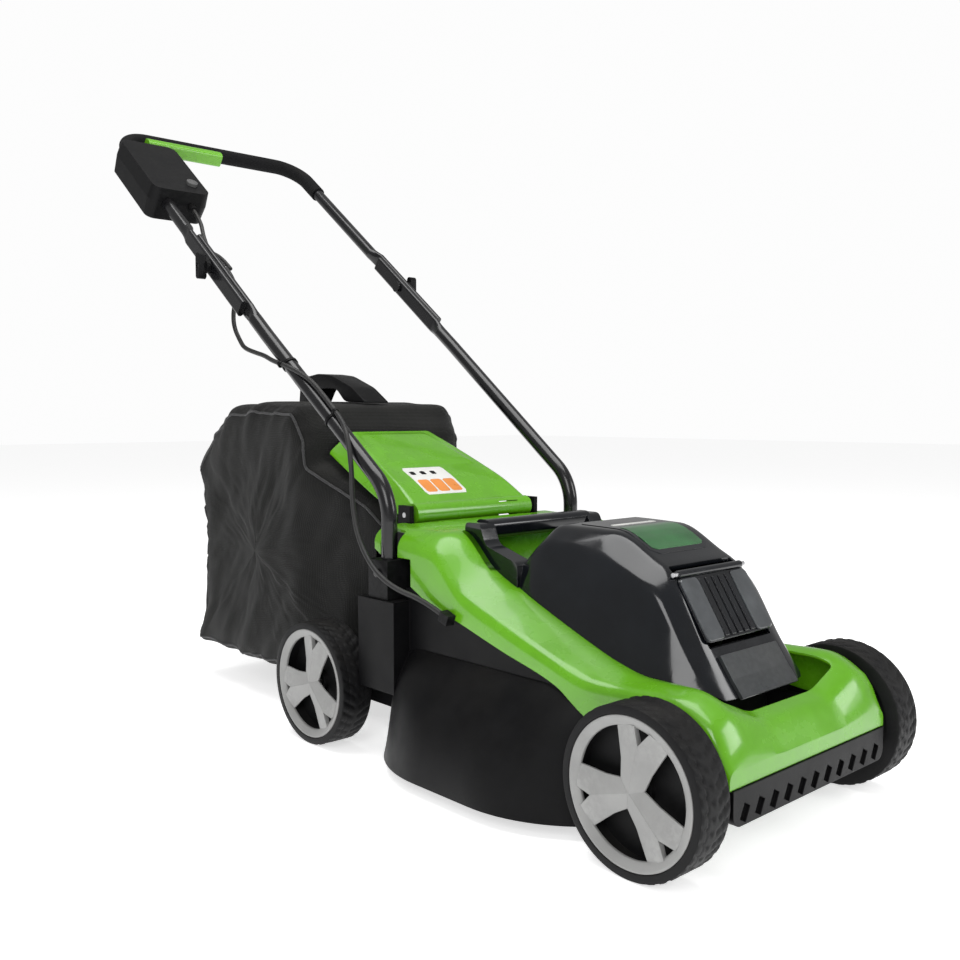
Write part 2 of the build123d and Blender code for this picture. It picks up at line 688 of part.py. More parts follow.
# ---- Upper handle ------------------------------------------------------------------------
UPPER_FLAT_X = HANDLE_HALF_WIDTH + FLAT_GAP + FLAT_THICK / 2
SLEEVE_LEFT_END = HANDLE_LENGTH - 94.0
SLEEVE_RIGHT_END = HANDLE_LENGTH - HANDLE_CORNER_RADIUS - 0.5
corner_right = handle_point(-HANDLE_HALF_WIDTH, HANDLE_LENGTH)
corner_left = handle_point(HANDLE_HALF_WIDTH, HANDLE_LENGTH)
with BuildPart() as upper_tube:
    with BuildLine():
        FilletPolyline(
            handle_point(-HANDLE_HALF_WIDTH, FLAT_HIGH + 26),
            corner_right,
            corner_left,
            handle_point(HANDLE_HALF_WIDTH, FLAT_HIGH + 26),
            radius=HANDLE_CORNER_RADIUS,
        )
    with BuildSketch(cross_plane(FLAT_HIGH + 26)):
        with Locations((-HANDLE_HALF_WIDTH, 0)):
            Circle(TUBE_RADIUS)
            Circle(TUBE_RADIUS - TUBE_WALL, mode=Mode.SUBTRACT)
    sweep()
    for side, hand in SIDES:
        with BuildSketch(cross_plane(FLAT_HIGH + 26)):
            with Locations((side * HANDLE_HALF_WIDTH, 0)):
                Circle(TUBE_RADIUS)
        with BuildSketch(cross_plane(FLAT_HIGH + 4)):
            with Locations((side * UPPER_FLAT_X, 0)):
                RectangleRounded(FLAT_THICK, FLAT_WIDTH, 4.5)
        loft()
        with BuildSketch(cross_plane(FLAT_HIGH + 4)):
            with Locations((side * UPPER_FLAT_X, 0)):
                RectangleRounded(FLAT_THICK, FLAT_WIDTH, 4.5)
        extrude(amount=FLAT_HIGH + 4 - FLAT_LOW)
    with Locations(Location((0, FOLD_Y, FOLD_Z), (0, 90, 0))):
        Cylinder(BOLT_RADIUS + RUNNING_GAP, 2 * 200, mode=Mode.SUBTRACT)
hand_in(upper_tube.part, "upper_tube")

with BuildPart() as grip_sleeve:
    with BuildLine():
        FilletPolyline(
            handle_point(-HANDLE_HALF_WIDTH, SLEEVE_RIGHT_END),
            corner_right,
            corner_left,
            handle_point(HANDLE_HALF_WIDTH, SLEEVE_LEFT_END),
            radius=HANDLE_CORNER_RADIUS,
        )
    with BuildSketch(cross_plane(SLEEVE_RIGHT_END)):
        with Locations((-HANDLE_HALF_WIDTH, 0)):
            Circle(GRIP_RADIUS)
            Circle(TUBE_RADIUS, mode=Mode.SUBTRACT)
    sweep()
hand_in(grip_sleeve.part, "grip_sleeve")

# ---- Switch box: two shells clamped round the right-hand tube ------------------------------
BOX_LOW = 190.0
BOX_HIGH = 358.0
BOX_OUTER_X = -206.0
BOX_INNER_X = -106.0
BOX_TOP = 24.0
BOX_BOTTOM = -30.0
BOX_WALL = 3.0
BAIL_PIVOT_ALONG = BOX_HIGH + 10.0
BAIL_PIVOT_OUT = -14.0
BAIL_PIVOT_X = -145.0
BAIL_PIN_RADIUS = 3.0
BAIL_ALONG = 371.0
BAIL_OUT = 13.0
BAIL_INNER_X = -12.0
BAIL_OUTER_X = -149.0
BUTTON_X = -130.0
BUTTON_ALONG = 222.0
BUTTON_RADIUS = 9.0
box_x = (BOX_OUTER_X + BOX_INNER_X) / 2
box_width = BOX_INNER_X - BOX_OUTER_X
box_along = (BOX_LOW + BOX_HIGH) / 2
box_length = BOX_HIGH - BOX_LOW
side_view = Plane(origin=handle_point(0, 0), x_dir=(0, cos(SLOPE), sin(SLOPE)), z_dir=(1, 0, 0))
bail_axis = Location(handle_point(BAIL_PIVOT_X, BAIL_PIVOT_ALONG, BAIL_PIVOT_OUT), (0, 90, 0))

for name, low, high in (("switch_box_cover", 0.0, BOX_TOP), ("switch_box_base", BOX_BOTTOM, 0.0)):
    toward = 1 if high > 0 else -1
    with BuildPart() as shell:
        with BuildSketch(handle_plane(0, 0)):
            with Locations((box_x, box_along)):
                RectangleRounded(box_width, box_length, 16)
        extrude(amount=toward * (high - low), taper=5)
        with BuildSketch(handle_plane(0, 0)):
            with Locations((box_x, box_along)):
                RectangleRounded(box_width - 2 * BOX_WALL, box_length - 2 * BOX_WALL, 13)
        extrude(amount=toward * (high - low - BOX_WALL), taper=5, mode=Mode.SUBTRACT)
        # saddle that clamps the tube
        with BuildSketch(cross_plane(BOX_LOW + 6)):
            with Locations((-HANDLE_HALF_WIDTH, toward * (high - low - 2) / 2)):
                Rectangle(30, high - low - 2)
        extrude(amount=-(box_length - 12))
        with BuildSketch(cross_plane(BOX_LOW - 20)):
            with Locations((-HANDLE_HALF_WIDTH, 0)):
                Circle(TUBE_RADIUS)
        extrude(amount=-(box_length + 40), mode=Mode.SUBTRACT)
        if toward > 0:
            with BuildSketch(handle_plane(0, 0)):
                with Locations((BUTTON_X, BUTTON_ALONG)):
                    Circle(BUTTON_RADIUS + 0.3)
            extrude(amount=40, mode=Mode.SUBTRACT)
        else:
            # ears for the lever's pin
            for ear_x in (BAIL_PIVOT_X - 12, BAIL_PIVOT_X + 6):
                with BuildSketch(side_view.offset(ear_x)):
                    with Locations((BAIL_PIVOT_ALONG, BAIL_PIVOT_OUT)):
                        Circle(7)
                    with Locations((BAIL_PIVOT_ALONG - 9, BAIL_PIVOT_OUT - 1)):
                        Rectangle(18, 12)
                extrude(amount=6)
            with Locations(bail_axis):
                Cylinder(BAIL_PIN_RADIUS, 40, mode=Mode.SUBTRACT)
    hand_in(shell.part, name)

with BuildPart() as bail_pin:
    with Locations(bail_axis):
        Cylinder(BAIL_PIN_RADIUS, 24)
hand_in(bail_pin.part, "bail_pin")

with BuildPart() as bail_lever:
    # arm from the pin up to the bar
    with BuildSketch(side_view.offset(BAIL_OUTER_X)):
        with Locations((BAIL_PIVOT_ALONG, BAIL_PIVOT_OUT)):
            Circle(7)
        Polygon((BAIL_PIVOT_ALONG - 6, BAIL_PIVOT_OUT - 2), (BAIL_PIVOT_ALONG + 6.5, BAIL_PIVOT_OUT + 2),
                (BAIL_ALONG + 9, BAIL_OUT - 8), (BAIL_ALONG - 8, BAIL_OUT - 8), align=None)
    extrude(amount=8)
    # channel-shaped bar
    with BuildSketch(side_view.offset(BAIL_OUTER_X)):
        with Locations((BAIL_ALONG, BAIL_OUT)):
            RectangleRounded(18, 24, 6)
    extrude(amount=BAIL_INNER_X - BAIL_OUTER_X)
    with BuildSketch(side_view.offset(BAIL_OUTER_X + 12)):
        with Locations((BAIL_ALONG + 4, BAIL_OUT - 3.5)):
            Rectangle(16, 22)
    extrude(amount=BAIL_INNER_X - BAIL_OUTER_X, mode=Mode.SUBTRACT)
    with Locations(bail_axis):
        Cylinder(BAIL_PIN_RADIUS + RUNNING_GAP, 60, mode=Mode.SUBTRACT)
hand_in(bail_lever.part, "bail_lever")

with BuildPart() as start_button:
    with BuildSketch(handle_plane(0, BOX_TOP - 10)):
        with Locations((BUTTON_X, BUTTON_ALONG)):
            Circle(BUTTON_RADIUS)
    extrude(amount=15)
hand_in(start_button.part, "start_button")

with BuildPart() as run_switch:
    with BuildSketch(handle_plane(0, BOX_BOTTOM + BOX_WALL)):
        with Locations((-130, 270)):
            Rectangle(20, 28)
    extrude(amount=12)
hand_in(run_switch.part, "run_switch")

# ---- Discharge flap ------------------------------------------------------------------------
BARREL_RADIUS = 14.0
FLAP_WALL = 3.0
# Sections, front to rear: y, top half width and z, edge half width and z.
FLAP_SECTIONS = (
    (-97, 103, 314, 108, 292),
    (-60, 98, 338, 108, 304),
    (-22, 92, 357, 108, 320),
    (30, 82, 382, 108, 346),
    (81, 73, 404, 108, 373),
)


def flap_section(row, inset=0.0):
    """One section of the flap, or of the space beneath it when inset."""
    y, top_half, top, edge_half, edge = row
    drop = 40 if inset else 0
    outline = (
        (edge_half - inset, edge - drop),
        (edge_half - inset, edge + 4),
        (top_half - 0.6 * inset, top - inset),
    )
    with BuildSketch(Plane.XZ.offset(-y)) as section:
        Polygon(*outline, *[(-x, z) for x, z in reversed(outline)], align=None)
    return section.sketch


with BuildPart() as discharge_flap:
    loft([flap_section(row) for row in FLAP_SECTIONS], ruled=True)
    loft([flap_section(row, FLAP_WALL) for row in FLAP_SECTIONS], ruled=True, mode=Mode.SUBTRACT)
    with Locations(Location((0, HINGE_Y, HINGE_Z), (0, 90, 0))):
        Cylinder(BARREL_RADIUS, 2 * 103)
        Cylinder(ROD_RADIUS + RUNNING_GAP, 2 * 112, mode=Mode.SUBTRACT)
    # gap in the barrel for the spring
    with Locations(Location((60, HINGE_Y, HINGE_Z), (0, 90, 0))):
        Cylinder(9, 36, mode=Mode.SUBTRACT)
hand_in(discharge_flap.part, "discharge_flap")

with BuildPart() as flap_rod:
    with Locations(Location((0, HINGE_Y, HINGE_Z), (0, 90, 0))):
        Cylinder(ROD_RADIUS, 2 * 116)
hand_in(flap_rod.part, "flap_rod")

with BuildPart() as flap_spring:
    with Locations(Location((60, HINGE_Y, HINGE_Z), (0, 90, 0))):
        Cylinder(6.5, 30)
        Cylinder(ROD_RADIUS, 30, mode=Mode.SUBTRACT)
hand_in(flap_spring.part, "flap_spring")

# ---- Grass bag -------------------------------------------------------------------------------
BAG_HALF_WIDTH = 150.0
BAG_WALL = 3.0
MOUTH_Y = -70.0
MOUTH_HALF_WIDTH = 106.0
MOUTH_LOW = 98.0
MOUTH_HIGH = 270.0


def bag_outline(inset=0.0):
    """Side outline of the bag from the lower lip of its mouth, round the back, to the upper lip."""
    i = inset
    front = MOUTH_Y - (2 if inset else 0)
    return (
        (front, MOUTH_LOW + i), (30, 96 + i), (80, 70 + i), (150, 52 + i), (300, 50 + i), (425 - i, 53 + i),
        (404 - i, 100), (390 - i, 200), (398 - i, 280), (420 - i, 352 - i), (362, 411 - i), (290, 444 - i),
        (200, 450 - i), (112 + i, 446 - i), (90 + i, 404), (86 + i, 362 - i), (30, 336 - i), (-22, 310 - i),
        (front, MOUTH_HIGH - i),
    )


def bag_plan(inset=0.0):
    """Plan outline of the bag: narrow at the mouth, full width behind the tubes."""
    front = MOUTH_Y - 10
    half = BAG_HALF_WIDTH - inset
    mouth = MOUTH_HALF_WIDTH - inset
    return (
        (mouth, front), (mouth, -40), (half - 24, 40), (half, 120), (half, 440),
        (-half, 440), (-half, 120), (-(half - 24), 40), (-mouth, -40), (-mouth, front),
    )


with BuildPart() as bag_hollow:
    with BuildSketch(Plane.YZ.offset(-BAG_HALF_WIDTH)):
        Polygon(*bag_outline(BAG_WALL), align=None)
    extrude(amount=2 * BAG_HALF_WIDTH)
    with BuildSketch(Plane.XY):
        Polygon(*bag_plan(BAG_WALL), align=None)
    extrude(amount=500, mode=Mode.INTERSECT)

with BuildPart() as grass_bag:
    with BuildSketch(Plane.YZ.offset(-BAG_HALF_WIDTH)):
        Polygon(*bag_outline(), align=None)
    extrude(amount=2 * BAG_HALF_WIDTH)
    with BuildSketch(Plane.XY):
        Polygon(*bag_plan(), align=None)
    extrude(amount=500, mode=Mode.INTERSECT)
    add(bag_hollow.part, mode=Mode.SUBTRACT)
hand_in(grass_bag.part, "grass_bag")

with BuildPart() as bag_mouth_frame:
    with BuildSketch(Plane.XZ.offset(-MOUTH_Y)):
        with Locations((0, (MOUTH_LOW + MOUTH_HIGH) / 2)):
            Rectangle(2 * (MOUTH_HALF_WIDTH - BAG_WALL), MOUTH_HIGH - MOUTH_LOW - 2 * BAG_WALL)
            Rectangle(2 * (MOUTH_HALF_WIDTH - BAG_WALL - 7), MOUTH_HIGH - MOUTH_LOW - 2 * BAG_WALL - 14,
                      mode=Mode.SUBTRACT)
    extrude(amount=-14)
hand_in(bag_mouth_frame.part, "bag_mouth_frame")

with BuildPart() as bag_handle:
    with BuildSketch(Plane.YZ.offset(-22)):
        Polygon((112, 446), (150, 470), (203, 489), (240, 493), (272, 489), (292, 472), (296, 441.251),
                (290, 444), (270, 445.334), (252, 470), (190, 468), (168, 448.546), align=None)
    extrude(amount=44)
hand_in(bag_handle.part, "bag_handle")

# ---- Name plate ------------------------------------------------------------------------------
with BuildPart() as name_plate:
    with BuildSketch(Plane.YZ.offset(-52)):
        Polygon((-530, 181.819), (-545, 160), (-558, 143.177), (-561.3, 145.6), (-548.3, 162.3),
                (-533.3, 184.1), align=None)
    extrude(amount=104)
hand_in(name_plate.part, "name_plate")

# ---- Cable: one length on the folding handle, one on the mower ---------------------------------
CABLE_RADIUS = 3.2
CABLE_X = -137.0


def beside_tube(along, turn, reach):
    """A point beside the right-hand lower tube, turned from its front face towards the outside."""
    tube_x = -LOWER_X - (LOWER_FLAT_X - LOWER_X) * (KNEE_ALONG - along) / (KNEE_ALONG - FLAT_LOW + 68)
    return handle_point(
        tube_x - reach * sin(radians(turn)),
        along,
        reach * cos(radians(turn)),
    )


KNEE_ALONG = -(FOLD_Y - BEND_Y) / cos(SLOPE)
UPPER_CABLE_POINTS = [
    handle_point(CABLE_X, BOX_LOW),
    handle_point(CABLE_X, BOX_LOW - 40),
    handle_point(-144, 113, -11),
    handle_point(-150, 72, -14),
    handle_point(-150.5, 32, 0),
    handle_point(-150.5, 0, 0),
]
LOWER_CABLE_POINTS = [
    handle_point(-157.5, 0, 0),
    handle_point(-157.5, -27, 0),
    handle_point(-159, -51, -13),
    handle_point(-165, -67, -34),
    handle_point(-170, -90, -46),
    handle_point(-172, -121, -50),
    handle_point(-180, -148, -43),
    handle_point(-179, -174, -32),
    handle_point(-179, -199, -20),
    beside_tube(-228, 120, 16.5),
    beside_tube(-262, 62, 16.5),
    beside_tube(-300, 10, 15.5),
    beside_tube(-345, 4, 14.6),
    beside_tube(-392, 14, 16),
    (-181, -66, 402),
    (-182, -76, 360),
    (-183, -78, 316),
    (-187, -96, 274),
    (-191, -132, 241),
    (-187, -168, 222),
    (-171, -203, 211),
    (-171, -238, 198.6),
]


def bend_radii(points):
    """Bend radius at every inner corner, and the length of the finished cable."""
    radii = []
    length = 0.0
    for before, here, after in zip(points, points[1:], points[2:]):
        into = Vector(*here) - Vector(*before)
        out = Vector(*after) - Vector(*here)
        half_turn = radians(into.get_angle(out)) / 2
        cut = 0.45 * min(into.length, out.length)
        radii.append(cut / tan(half_turn))
        length -= 2 * cut - 2 * half_turn * radii[-1]
    length += sum((Vector(*b) - Vector(*a)).length for a, b in zip(points, points[1:]))
    return radii, length


with BuildPart() as cable_upper:
    radii, length = bend_radii(UPPER_CABLE_POINTS)
    print("cable_upper", [round(r) for r in radii], "length", round(length, 1))
    with BuildLine() as run:
        FilletPolyline(*UPPER_CABLE_POINTS, radius=radii)
    with BuildSketch(Plane(origin=run.line @ 0, z_dir=run.line % 0)):
        Circle(CABLE_RADIUS)
    sweep()
print("volume", round(cable_upper.part.volume), "of", round(length * pi * CABLE_RADIUS**2))
hand_in(cable_upper.part, "cable_upper")

with BuildPart() as cable_lower:
    radii, length = bend_radii(LOWER_CABLE_POINTS)
    print("cable_lower", [round(r) for r in radii], "length", round(length, 1))
    with BuildLine() as run:
        FilletPolyline(*LOWER_CABLE_POINTS, radius=radii)
    with BuildSketch(Plane(origin=run.line @ 0, z_dir=run.line % 0)):
        Circle(CABLE_RADIUS)
    sweep()
print("volume", round(cable_lower.part.volume), "of", round(length * pi * CABLE_RADIUS**2))
hand_in(cable_lower.part, "cable_lower")

with BuildPart() as cable_gland_upper:
    with BuildSketch(cross_plane(BOX_LOW)):
        with Locations((CABLE_X, 0)):
            Circle(6.5)
            Circle(CABLE_RADIUS, mode=Mode.SUBTRACT)
    extrude(amount=12)
hand_in(cable_gland_upper.part, "cable_gland_upper")

with BuildPart() as cable_gland_lower:
    leave = Vector(*LOWER_CABLE_POINTS[-1]) - Vector(*LOWER_CABLE_POINTS[-2])
    with BuildSketch(Plane(origin=LOWER_CABLE_POINTS[-1], x_dir=(1, 0, 0), z_dir=leave)):
        Rectangle(12, 12)
    extrude(amount=15)
hand_in(cable_gland_lower.part, "cable_gland_lower")

with BuildPart() as cable_ties:
    for along, turn in ((-246, 88), (-369, 9)):
        tie_plane = Plane(origin=beside_tube(along, 0, 0), x_dir=(1, 0, 0), z_dir=(0, -cos(SLOPE), -sin(SLOPE)))
        with BuildSketch(tie_plane):
            Circle(TUBE_RADIUS + 1.4)
            with Locations((-14.8 * sin(radians(turn)), 14.8 * cos(radians(turn)))):
                Circle(CABLE_RADIUS + 1.6)
        extrude(amount=4)
    with BuildLine() as tube_line:
        Line(beside_tube(-200, 0, 0), beside_tube(-420, 0, 0))
    with BuildSketch(Plane(origin=tube_line.line @ 0, z_dir=tube_line.line % 0)):
        Circle(TUBE_RADIUS)
    sweep(mode=Mode.SUBTRACT)
    add(cable_lower.part, mode=Mode.SUBTRACT)
hand_in(cable_ties.part, "cable_ties")
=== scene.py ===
import math

import bmesh
import bpy
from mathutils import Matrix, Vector, noise


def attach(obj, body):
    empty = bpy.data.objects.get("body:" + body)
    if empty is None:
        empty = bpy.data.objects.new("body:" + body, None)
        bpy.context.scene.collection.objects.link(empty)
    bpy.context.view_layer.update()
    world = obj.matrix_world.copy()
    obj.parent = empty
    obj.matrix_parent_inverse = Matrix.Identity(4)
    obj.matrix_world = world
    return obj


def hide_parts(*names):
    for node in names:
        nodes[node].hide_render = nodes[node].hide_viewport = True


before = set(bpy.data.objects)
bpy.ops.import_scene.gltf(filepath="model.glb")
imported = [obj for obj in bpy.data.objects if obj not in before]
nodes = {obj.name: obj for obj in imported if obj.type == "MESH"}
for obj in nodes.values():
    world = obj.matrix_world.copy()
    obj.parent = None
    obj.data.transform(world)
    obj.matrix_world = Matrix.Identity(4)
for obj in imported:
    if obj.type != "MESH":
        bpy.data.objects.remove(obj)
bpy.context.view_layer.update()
scene = bpy.context.scene
MM = 0.001

# ---- Camera ------------------------------------------------------------------------------------
camera = bpy.data.objects.new("camera", bpy.data.cameras.new("camera"))
scene.collection.objects.link(camera)
scene.camera = camera
camera.data.sensor_width = 36
camera.data.lens = 38.117
YAW, PITCH = -0.74115, 0.064425
looking_back = Vector((math.sin(YAW) * math.cos(PITCH), -math.cos(YAW) * math.cos(PITCH), math.sin(PITCH)))
camera.location = (-0.92067, -1.12063, 0.42889)
camera.rotation_mode = "QUATERNION"
camera.rotation_quaternion = (-looking_back).to_track_quat("-Z", "Y")

# ---- Handle geometry shared by several pieces --------------------------------------------------
FOLD_Y, FOLD_Z = 279.0, 648.0
SLOPE = math.atan2(903 - 648, 609 - 279)
KNEE_ALONG = -(FOLD_Y + 129) / math.cos(SLOPE)


def handle_point(x, along, out=0.0):
    """A point beside the folding handle: along it from the fold bolt, and out from its front face."""
    return (
        x,
        FOLD_Y + along * math.cos(SLOPE) - out * math.sin(SLOPE),
        FOLD_Z + along * math.sin(SLOPE) + out * math.cos(SLOPE),
    )


def beside_tube(along, turn, reach):
    """A point beside the right-hand lower tube, turned from its front face towards the outside."""
    tube_x = -164 - 8.2 * (KNEE_ALONG - along) / (KNEE_ALONG + 180)
    angle = math.radians(turn)
    return handle_point(tube_x - reach * math.sin(angle), along, reach * math.cos(angle))


# ---- Cables ------------------------------------------------------------------------------------
UPPER_CABLE = [
    handle_point(-137, 190), handle_point(-137, 150), handle_point(-144, 113, -11),
    handle_point(-150, 72, -14), handle_point(-150.5, 32), handle_point(-150.5, 0),
]
LOWER_CABLE = [
    handle_point(-157.5, 0), handle_point(-157.5, -27), handle_point(-159, -51, -13),
    handle_point(-165, -67, -34), handle_point(-170, -90, -46), handle_point(-172, -121, -50),
    handle_point(-180, -148, -43), handle_point(-179, -174, -32), handle_point(-179, -199, -20),
    beside_tube(-228, 120, 16.5), beside_tube(-262, 62, 16.5), beside_tube(-300, 10, 15.5),
    beside_tube(-345, 4, 14.6), beside_tube(-392, 14, 16),
    (-181, -66, 402), (-182, -76, 360), (-183, -78, 316), (-187, -96, 274), (-191, -132, 241),
    (-187, -168, 222), (-171, -203, 211), (-171, -238, 198.6),
]


def cable(name, route, node, body):
    """One length of round cable on a smooth line through its route."""
    curve = bpy.data.curves.new(f"{name}_line", "CURVE")
    curve.dimensions = "3D"
    curve.resolution_u = 8
    curve.use_fill_caps = True
    line = curve.splines.new("NURBS")
    line.points.add(len(route) - 1)
    for point, place in zip(line.points, route):
        point.co = (*[c * MM for c in place], 1)
    line.order_u = 3
    line.use_endpoint_u = True
    guide = bpy.data.objects.new(f"{name}_line", curve)
    scene.collection.objects.link(guide)
    bpy.context.view_layer.update()
    drawn = bpy.data.meshes.new_from_object(guide.evaluated_get(bpy.context.evaluated_depsgraph_get()))
    curve.bevel_depth = 3.2 * MM
    curve.bevel_resolution = 5
    bpy.context.view_layer.update()
    mesh = bpy.data.meshes.new_from_object(guide.evaluated_get(bpy.context.evaluated_depsgraph_get()))
    mesh.shade_smooth()
    bpy.data.objects.remove(guide)
    piece = bpy.data.objects.new(name, mesh)
    scene.collection.objects.link(piece)
    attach(piece, body)
    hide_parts(node)
    return piece


cable_on_handle = cable("cable_on_handle", UPPER_CABLE, "cable_upper", "upper_handle")
cable_on_mower = cable("cable_on_mower", LOWER_CABLE, "cable_lower", "mower")


# ---- Shader groups -----------------------------------------------------------------------------
class Group:
    """A shader node group with named sockets, and short ways to fill it."""

    def __init__(self, name, inputs, outputs):
        self.tree = bpy.data.node_groups.new(name, "ShaderNodeTree")
        for label, value in inputs.items():
            socket = self.tree.interface.new_socket(label, in_out="INPUT", socket_type="NodeSocketFloat")
            socket.default_value = value
        for label in outputs:
            self.tree.interface.new_socket(label, in_out="OUTPUT", socket_type="NodeSocketFloat")
        self.inside = self.tree.nodes.new("NodeGroupInput")
        self.outside = self.tree.nodes.new("NodeGroupOutput")

    def node(self, kind, links=None, **values):
        made = self.tree.nodes.new(kind)
        for key, value in values.items():
            setattr(made, key, value)
        for socket, source in (links or {}).items():
            if isinstance(source, bpy.types.NodeSocket):
                self.tree.links.new(source, made.inputs[socket])
            else:
                made.inputs[socket].default_value = source
        return made

    def math(self, operation, a, b=0.0, clamp=False):
        return self.node("ShaderNodeMath", {0: a, 1: b}, operation=operation, use_clamp=clamp).outputs[0]

    def give(self, label, source):
        self.tree.links.new(source, self.outside.inputs[label])


def noise_of(group, scale, detail=3.0, rough=0.55, stretch=None):
    """Noise over the piece's own coordinates, drawn out along an axis when stretched."""
    place = group.node("ShaderNodeTexCoord").outputs["Object"]
    if stretch:
        place = group.node("ShaderNodeMapping", {"Vector": place, "Scale": stretch}).outputs[0]
    links = {"Vector": place, "Scale": scale, "Detail": detail, "Roughness": rough}
    return group.node("ShaderNodeTexNoise", links).outputs["Fac"]


grain = Group("moulded_grain", {"Scale": 1400.0}, ["Height", "Shade"])
grain.give("Height", noise_of(grain, grain.inside.outputs["Scale"], 2.0))
cloudy = {"Value": noise_of(grain, 26.0, 5.0), "From Min": 0.36, "From Max": 0.66}
grain.give("Shade", grain.node("ShaderNodeMapRange", cloudy).outputs[0])

weave = Group("woven_threads", {"Scale": 2600.0}, ["Height", "Shade"])
axes = weave.node("ShaderNodeSeparateXYZ", {0: weave.node("ShaderNodeTexCoord").outputs["Object"]})
scaled = [weave.math("MULTIPLY", axes.outputs[i], weave.inside.outputs["Scale"]) for i in range(3)]
threads = [weave.math("SINE", along) for along in scaled]
weave.give("Height", weave.math("ADD", weave.math("MULTIPLY", threads[0], threads[1]),
                                weave.math("MULTIPLY", threads[1], threads[2])))
faded = {"Value": noise_of(weave, 9.0, 7.0, 0.6), "From Min": 0.3, "From Max": 0.7}
weave.give("Shade", weave.node("ShaderNodeMapRange", faded).outputs[0])

brush = Group("brushed_lines", {"Scale": 60.0}, ["Height", "Shade"])
lines = noise_of(brush, brush.inside.outputs["Scale"], 6.0, 0.7, (1.0, 30.0, 30.0))
brush.give("Height", lines)
brush.give("Shade", lines)

wear = Group("edge_wear", {"Amount": 0.5}, ["Mask"])
pointed = wear.node("ShaderNodeNewGeometry").outputs["Pointiness"]
edge = wear.node("ShaderNodeMapRange", {"Value": pointed, "From Min": 0.58, "From Max": 0.72}).outputs[0]
broken = {"Value": noise_of(wear, 160.0, 4.0), "From Min": 0.42, "From Max": 0.62}
chipped = wear.math("MULTIPLY", edge, wear.node("ShaderNodeMapRange", broken).outputs[0])
wear.give("Mask", wear.math("MULTIPLY", chipped, wear.inside.outputs["Amount"], clamp=True))

dust = Group("settled_dust", {"Amount": 0.2}, ["Mask"])
normal = dust.node("ShaderNodeNewGeometry").outputs["Normal"]
facing = dust.node("ShaderNodeSeparateXYZ", {0: normal}).outputs["Z"]
upward = dust.node("ShaderNodeMapRange", {"Value": facing, "From Min": 0.1, "From Max": 1.0}).outputs[0]
clouds = {"Value": noise_of(dust, 18.0, 6.0), "From Min": 0.38, "From Max": 0.75}
lying = dust.math("MULTIPLY", upward, dust.node("ShaderNodeMapRange", clouds).outputs[0])
dust.give("Mask", dust.math("MULTIPLY", lying, dust.inside.outputs["Amount"], clamp=True))


# ---- Materials ---------------------------------------------------------------------------------
DUST_COLOUR = (0.23, 0.21, 0.18, 1)


def finish(name, colour, rough, texture="moulded_grain", scale=1400.0, depth=0.12, worn=0.35,
           worn_colour=None, dusty=0.08, metallic=0.0, coat=0.0, patchy=0.2, sheen=0.0, specular=0.5):
    """A finish with its own surface texture, rubbed edges and a little settled dust."""
    made = bpy.data.materials.new(name)
    made.use_nodes = True
    tree = made.node_tree
    shader = tree.nodes["Principled BSDF"]

    def add(kind, links, **values):
        node = tree.nodes.new(kind)
        for key, value in values.items():
            setattr(node, key, value)
        for socket, source in links.items():
            if isinstance(source, bpy.types.NodeSocket):
                tree.links.new(source, node.inputs[socket])
            else:
                node.inputs[socket].default_value = source
        return node

    surface = add("ShaderNodeGroup", {}, node_tree=bpy.data.node_groups[texture])
    surface.inputs["Scale"].default_value = scale
    edges = add("ShaderNodeGroup", {}, node_tree=bpy.data.node_groups["edge_wear"])
    edges.inputs["Amount"].default_value = worn
    settled = add("ShaderNodeGroup", {}, node_tree=bpy.data.node_groups["settled_dust"])
    settled.inputs["Amount"].default_value = dusty
    shades = [(*[min(1.0, c * (1 + way * patchy)) for c in colour], 1) for way in (-1, 1)]
    rubbed_colour = worn_colour or [min(1.0, c * 1.7 + 0.02) for c in colour]
    base = add("ShaderNodeMix", {0: surface.outputs["Shade"], 6: shades[0], 7: shades[1]}, data_type="RGBA")
    rubbed = add("ShaderNodeMix", {0: edges.outputs["Mask"], 6: base.outputs[2], 7: (*rubbed_colour, 1)},
                 data_type="RGBA")
    dusted = add("ShaderNodeMix", {0: settled.outputs["Mask"], 6: rubbed.outputs[2], 7: DUST_COLOUR},
                 data_type="RGBA")
    gloss = add("ShaderNodeMapRange", {"Value": surface.outputs["Shade"], "To Min": max(0.03, rough - 0.05),
                                       "To Max": rough + 0.07})
    dulled = add("ShaderNodeMath", {0: gloss.outputs[0], 1: settled.outputs["Mask"]}, operation="ADD",
                 use_clamp=True)
    rounding = add("ShaderNodeBevel", {"Radius": 0.0012}, samples=4)
    bump = add("ShaderNodeBump", {"Strength": depth, "Distance": 0.0005, "Height": surface.outputs["Height"],
                                  "Normal": rounding.outputs[0]})
    tree.links.new(dusted.outputs[2], shader.inputs["Base Color"])
    tree.links.new(dulled.outputs[0], shader.inputs["Roughness"])
    tree.links.new(bump.outputs[0], shader.inputs["Normal"])
    shader.inputs["Metallic"].default_value = metallic
    shader.inputs["Coat Weight"].default_value = coat
    shader.inputs["Coat Roughness"].default_value = 0.05
    shader.inputs["Sheen Weight"].default_value = sheen
    shader.inputs["Specular IOR Level"].default_value = specular
    return made


